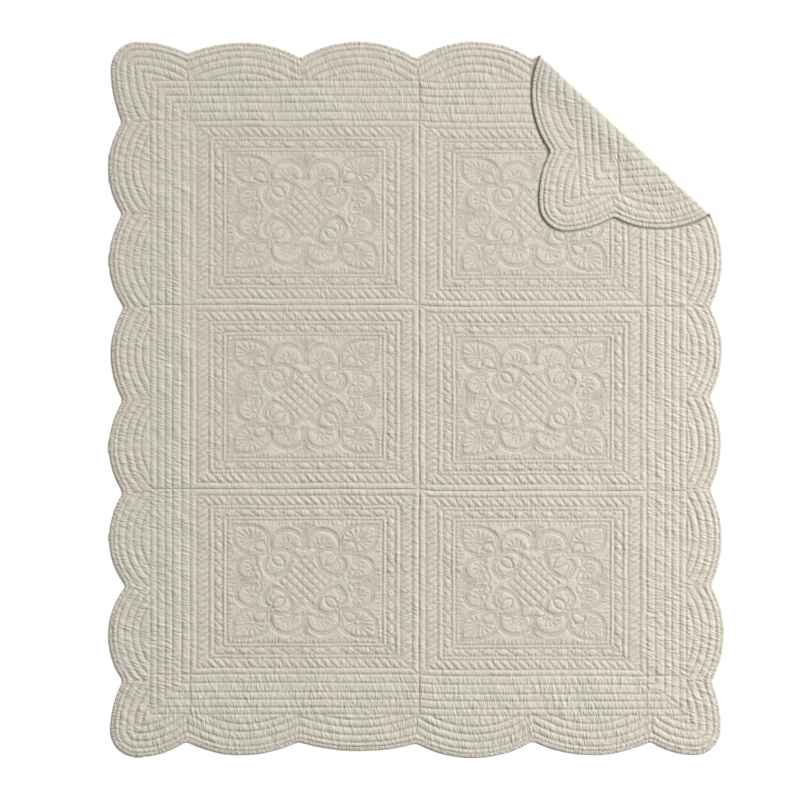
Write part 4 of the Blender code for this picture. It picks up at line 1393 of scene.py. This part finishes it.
class THROW_OT_stage(Operator):
    """Adds a plain white floor, soft light from the upper right and a camera straight above."""

    bl_idname = "throw.stage"
    bl_label = "Stage"

    def execute(self, context):
        settings = context.scene.throw_stage
        scene = context.scene
        corners = [(x * FLOOR_HALF, y * FLOOR_HALF, FLOOR_LEVEL) for x, y in (
            (-1, -1), (1, -1), (1, 1), (-1, 1))]
        floor = make_mesh("floor", np.array(corners), np.array([(0, 1, 2, 3)]), {})
        paint = bpy.data.materials.new("white_floor")
        paint.use_nodes = True
        shader = paint.node_tree.nodes["Principled BSDF"]
        shader.inputs["Base Color"].default_value = (*settings.floor, 1.0)
        for socket, value in PAINT.items():
            shader.inputs[socket].default_value = value
        floor.data.materials.append(paint)
        key = add_light("key", "SUN", KEY_AT, settings.key_power)
        key.angle = math.radians(KEY_SPREAD)
        side = add_light("side", "AREA", SIDE_AT, settings.side_power)
        side.size = SIDE_SIZE
        world = bpy.data.worlds.new("studio")
        world.use_nodes = True
        fill = world.node_tree.nodes["Background"]
        fill.inputs["Color"].default_value = (*settings.bounce, 1.0)
        fill.inputs["Strength"].default_value = settings.sky
        scene.world = world
        add_camera(scene, settings)
        scene.view_settings.view_transform = "Standard"
        return {"FINISHED"}


def add_light(name, kind, place, power):
    """Soft light that faces the middle of the throw."""
    light = bpy.data.lights.new(name, kind)
    light.energy = power
    lamp = bpy.data.objects.new(name, light)
    lamp.location = place
    lamp.rotation_euler = (-Vector(place)).to_track_quat("-Z", "Y").to_euler()
    bpy.context.scene.collection.objects.link(lamp)
    return light


def add_camera(scene, settings):
    """Long lens straight above, as wide as the photo's view of the floor."""
    camera = bpy.data.cameras.new("overhead")
    camera.sensor_width = SENSOR
    camera.lens = SENSOR * settings.camera_height / settings.view_width
    camera.clip_end = 50.0
    holder = bpy.data.objects.new("overhead", camera)
    holder.location = (*IMAGE_CENTRE, settings.camera_height)
    scene.collection.objects.link(holder)
    scene.camera = holder


class THROW_PT_panel(Panel):
    """Lists the throw's pieces and settings."""

    bl_idname = "THROW_PT_panel"
    bl_label = "Quilted throw"
    bl_space_type = "VIEW_3D"
    bl_region_type = "UI"
    bl_category = "Throw"

    def draw(self, context):
        layout = self.layout
        for name in GROUPS:
            group = getattr(context.scene, name)
            box = layout.box()
            for key in group.__annotations__:
                box.prop(group, key)
        for operator in OPERATORS:
            layout.operator(operator.bl_idname)


# The quilted grid, kept from the face's operator for the backing's
GRIDS = {}
OPERATORS = (THROW_OT_quilted_face, THROW_OT_backing, THROW_OT_binding, THROW_OT_stage)
GROUPS = {"throw_cloth": ThrowCloth, "throw_colours": ThrowColours, "throw_stage": ThrowStage}


def register():
    for group in GROUPS.values():
        bpy.utils.register_class(group)
    for name, group in GROUPS.items():
        setattr(bpy.types.Scene, name, PointerProperty(type=group))
    for operator in OPERATORS:
        bpy.utils.register_class(operator)
    bpy.utils.register_class(THROW_PT_panel)


def unregister():
    bpy.utils.unregister_class(THROW_PT_panel)
    for operator in reversed(OPERATORS):
        bpy.utils.unregister_class(operator)
    for name in GROUPS:
        delattr(bpy.types.Scene, name)
    for group in reversed(list(GROUPS.values())):
        bpy.utils.unregister_class(group)


def main():
    """Makes every piece and the stage."""
    register()
    bpy.ops.throw.quilted_face()
    bpy.ops.throw.backing()
    bpy.ops.throw.binding()
    bpy.ops.throw.stage()


if __name__ == "__main__":
    main()
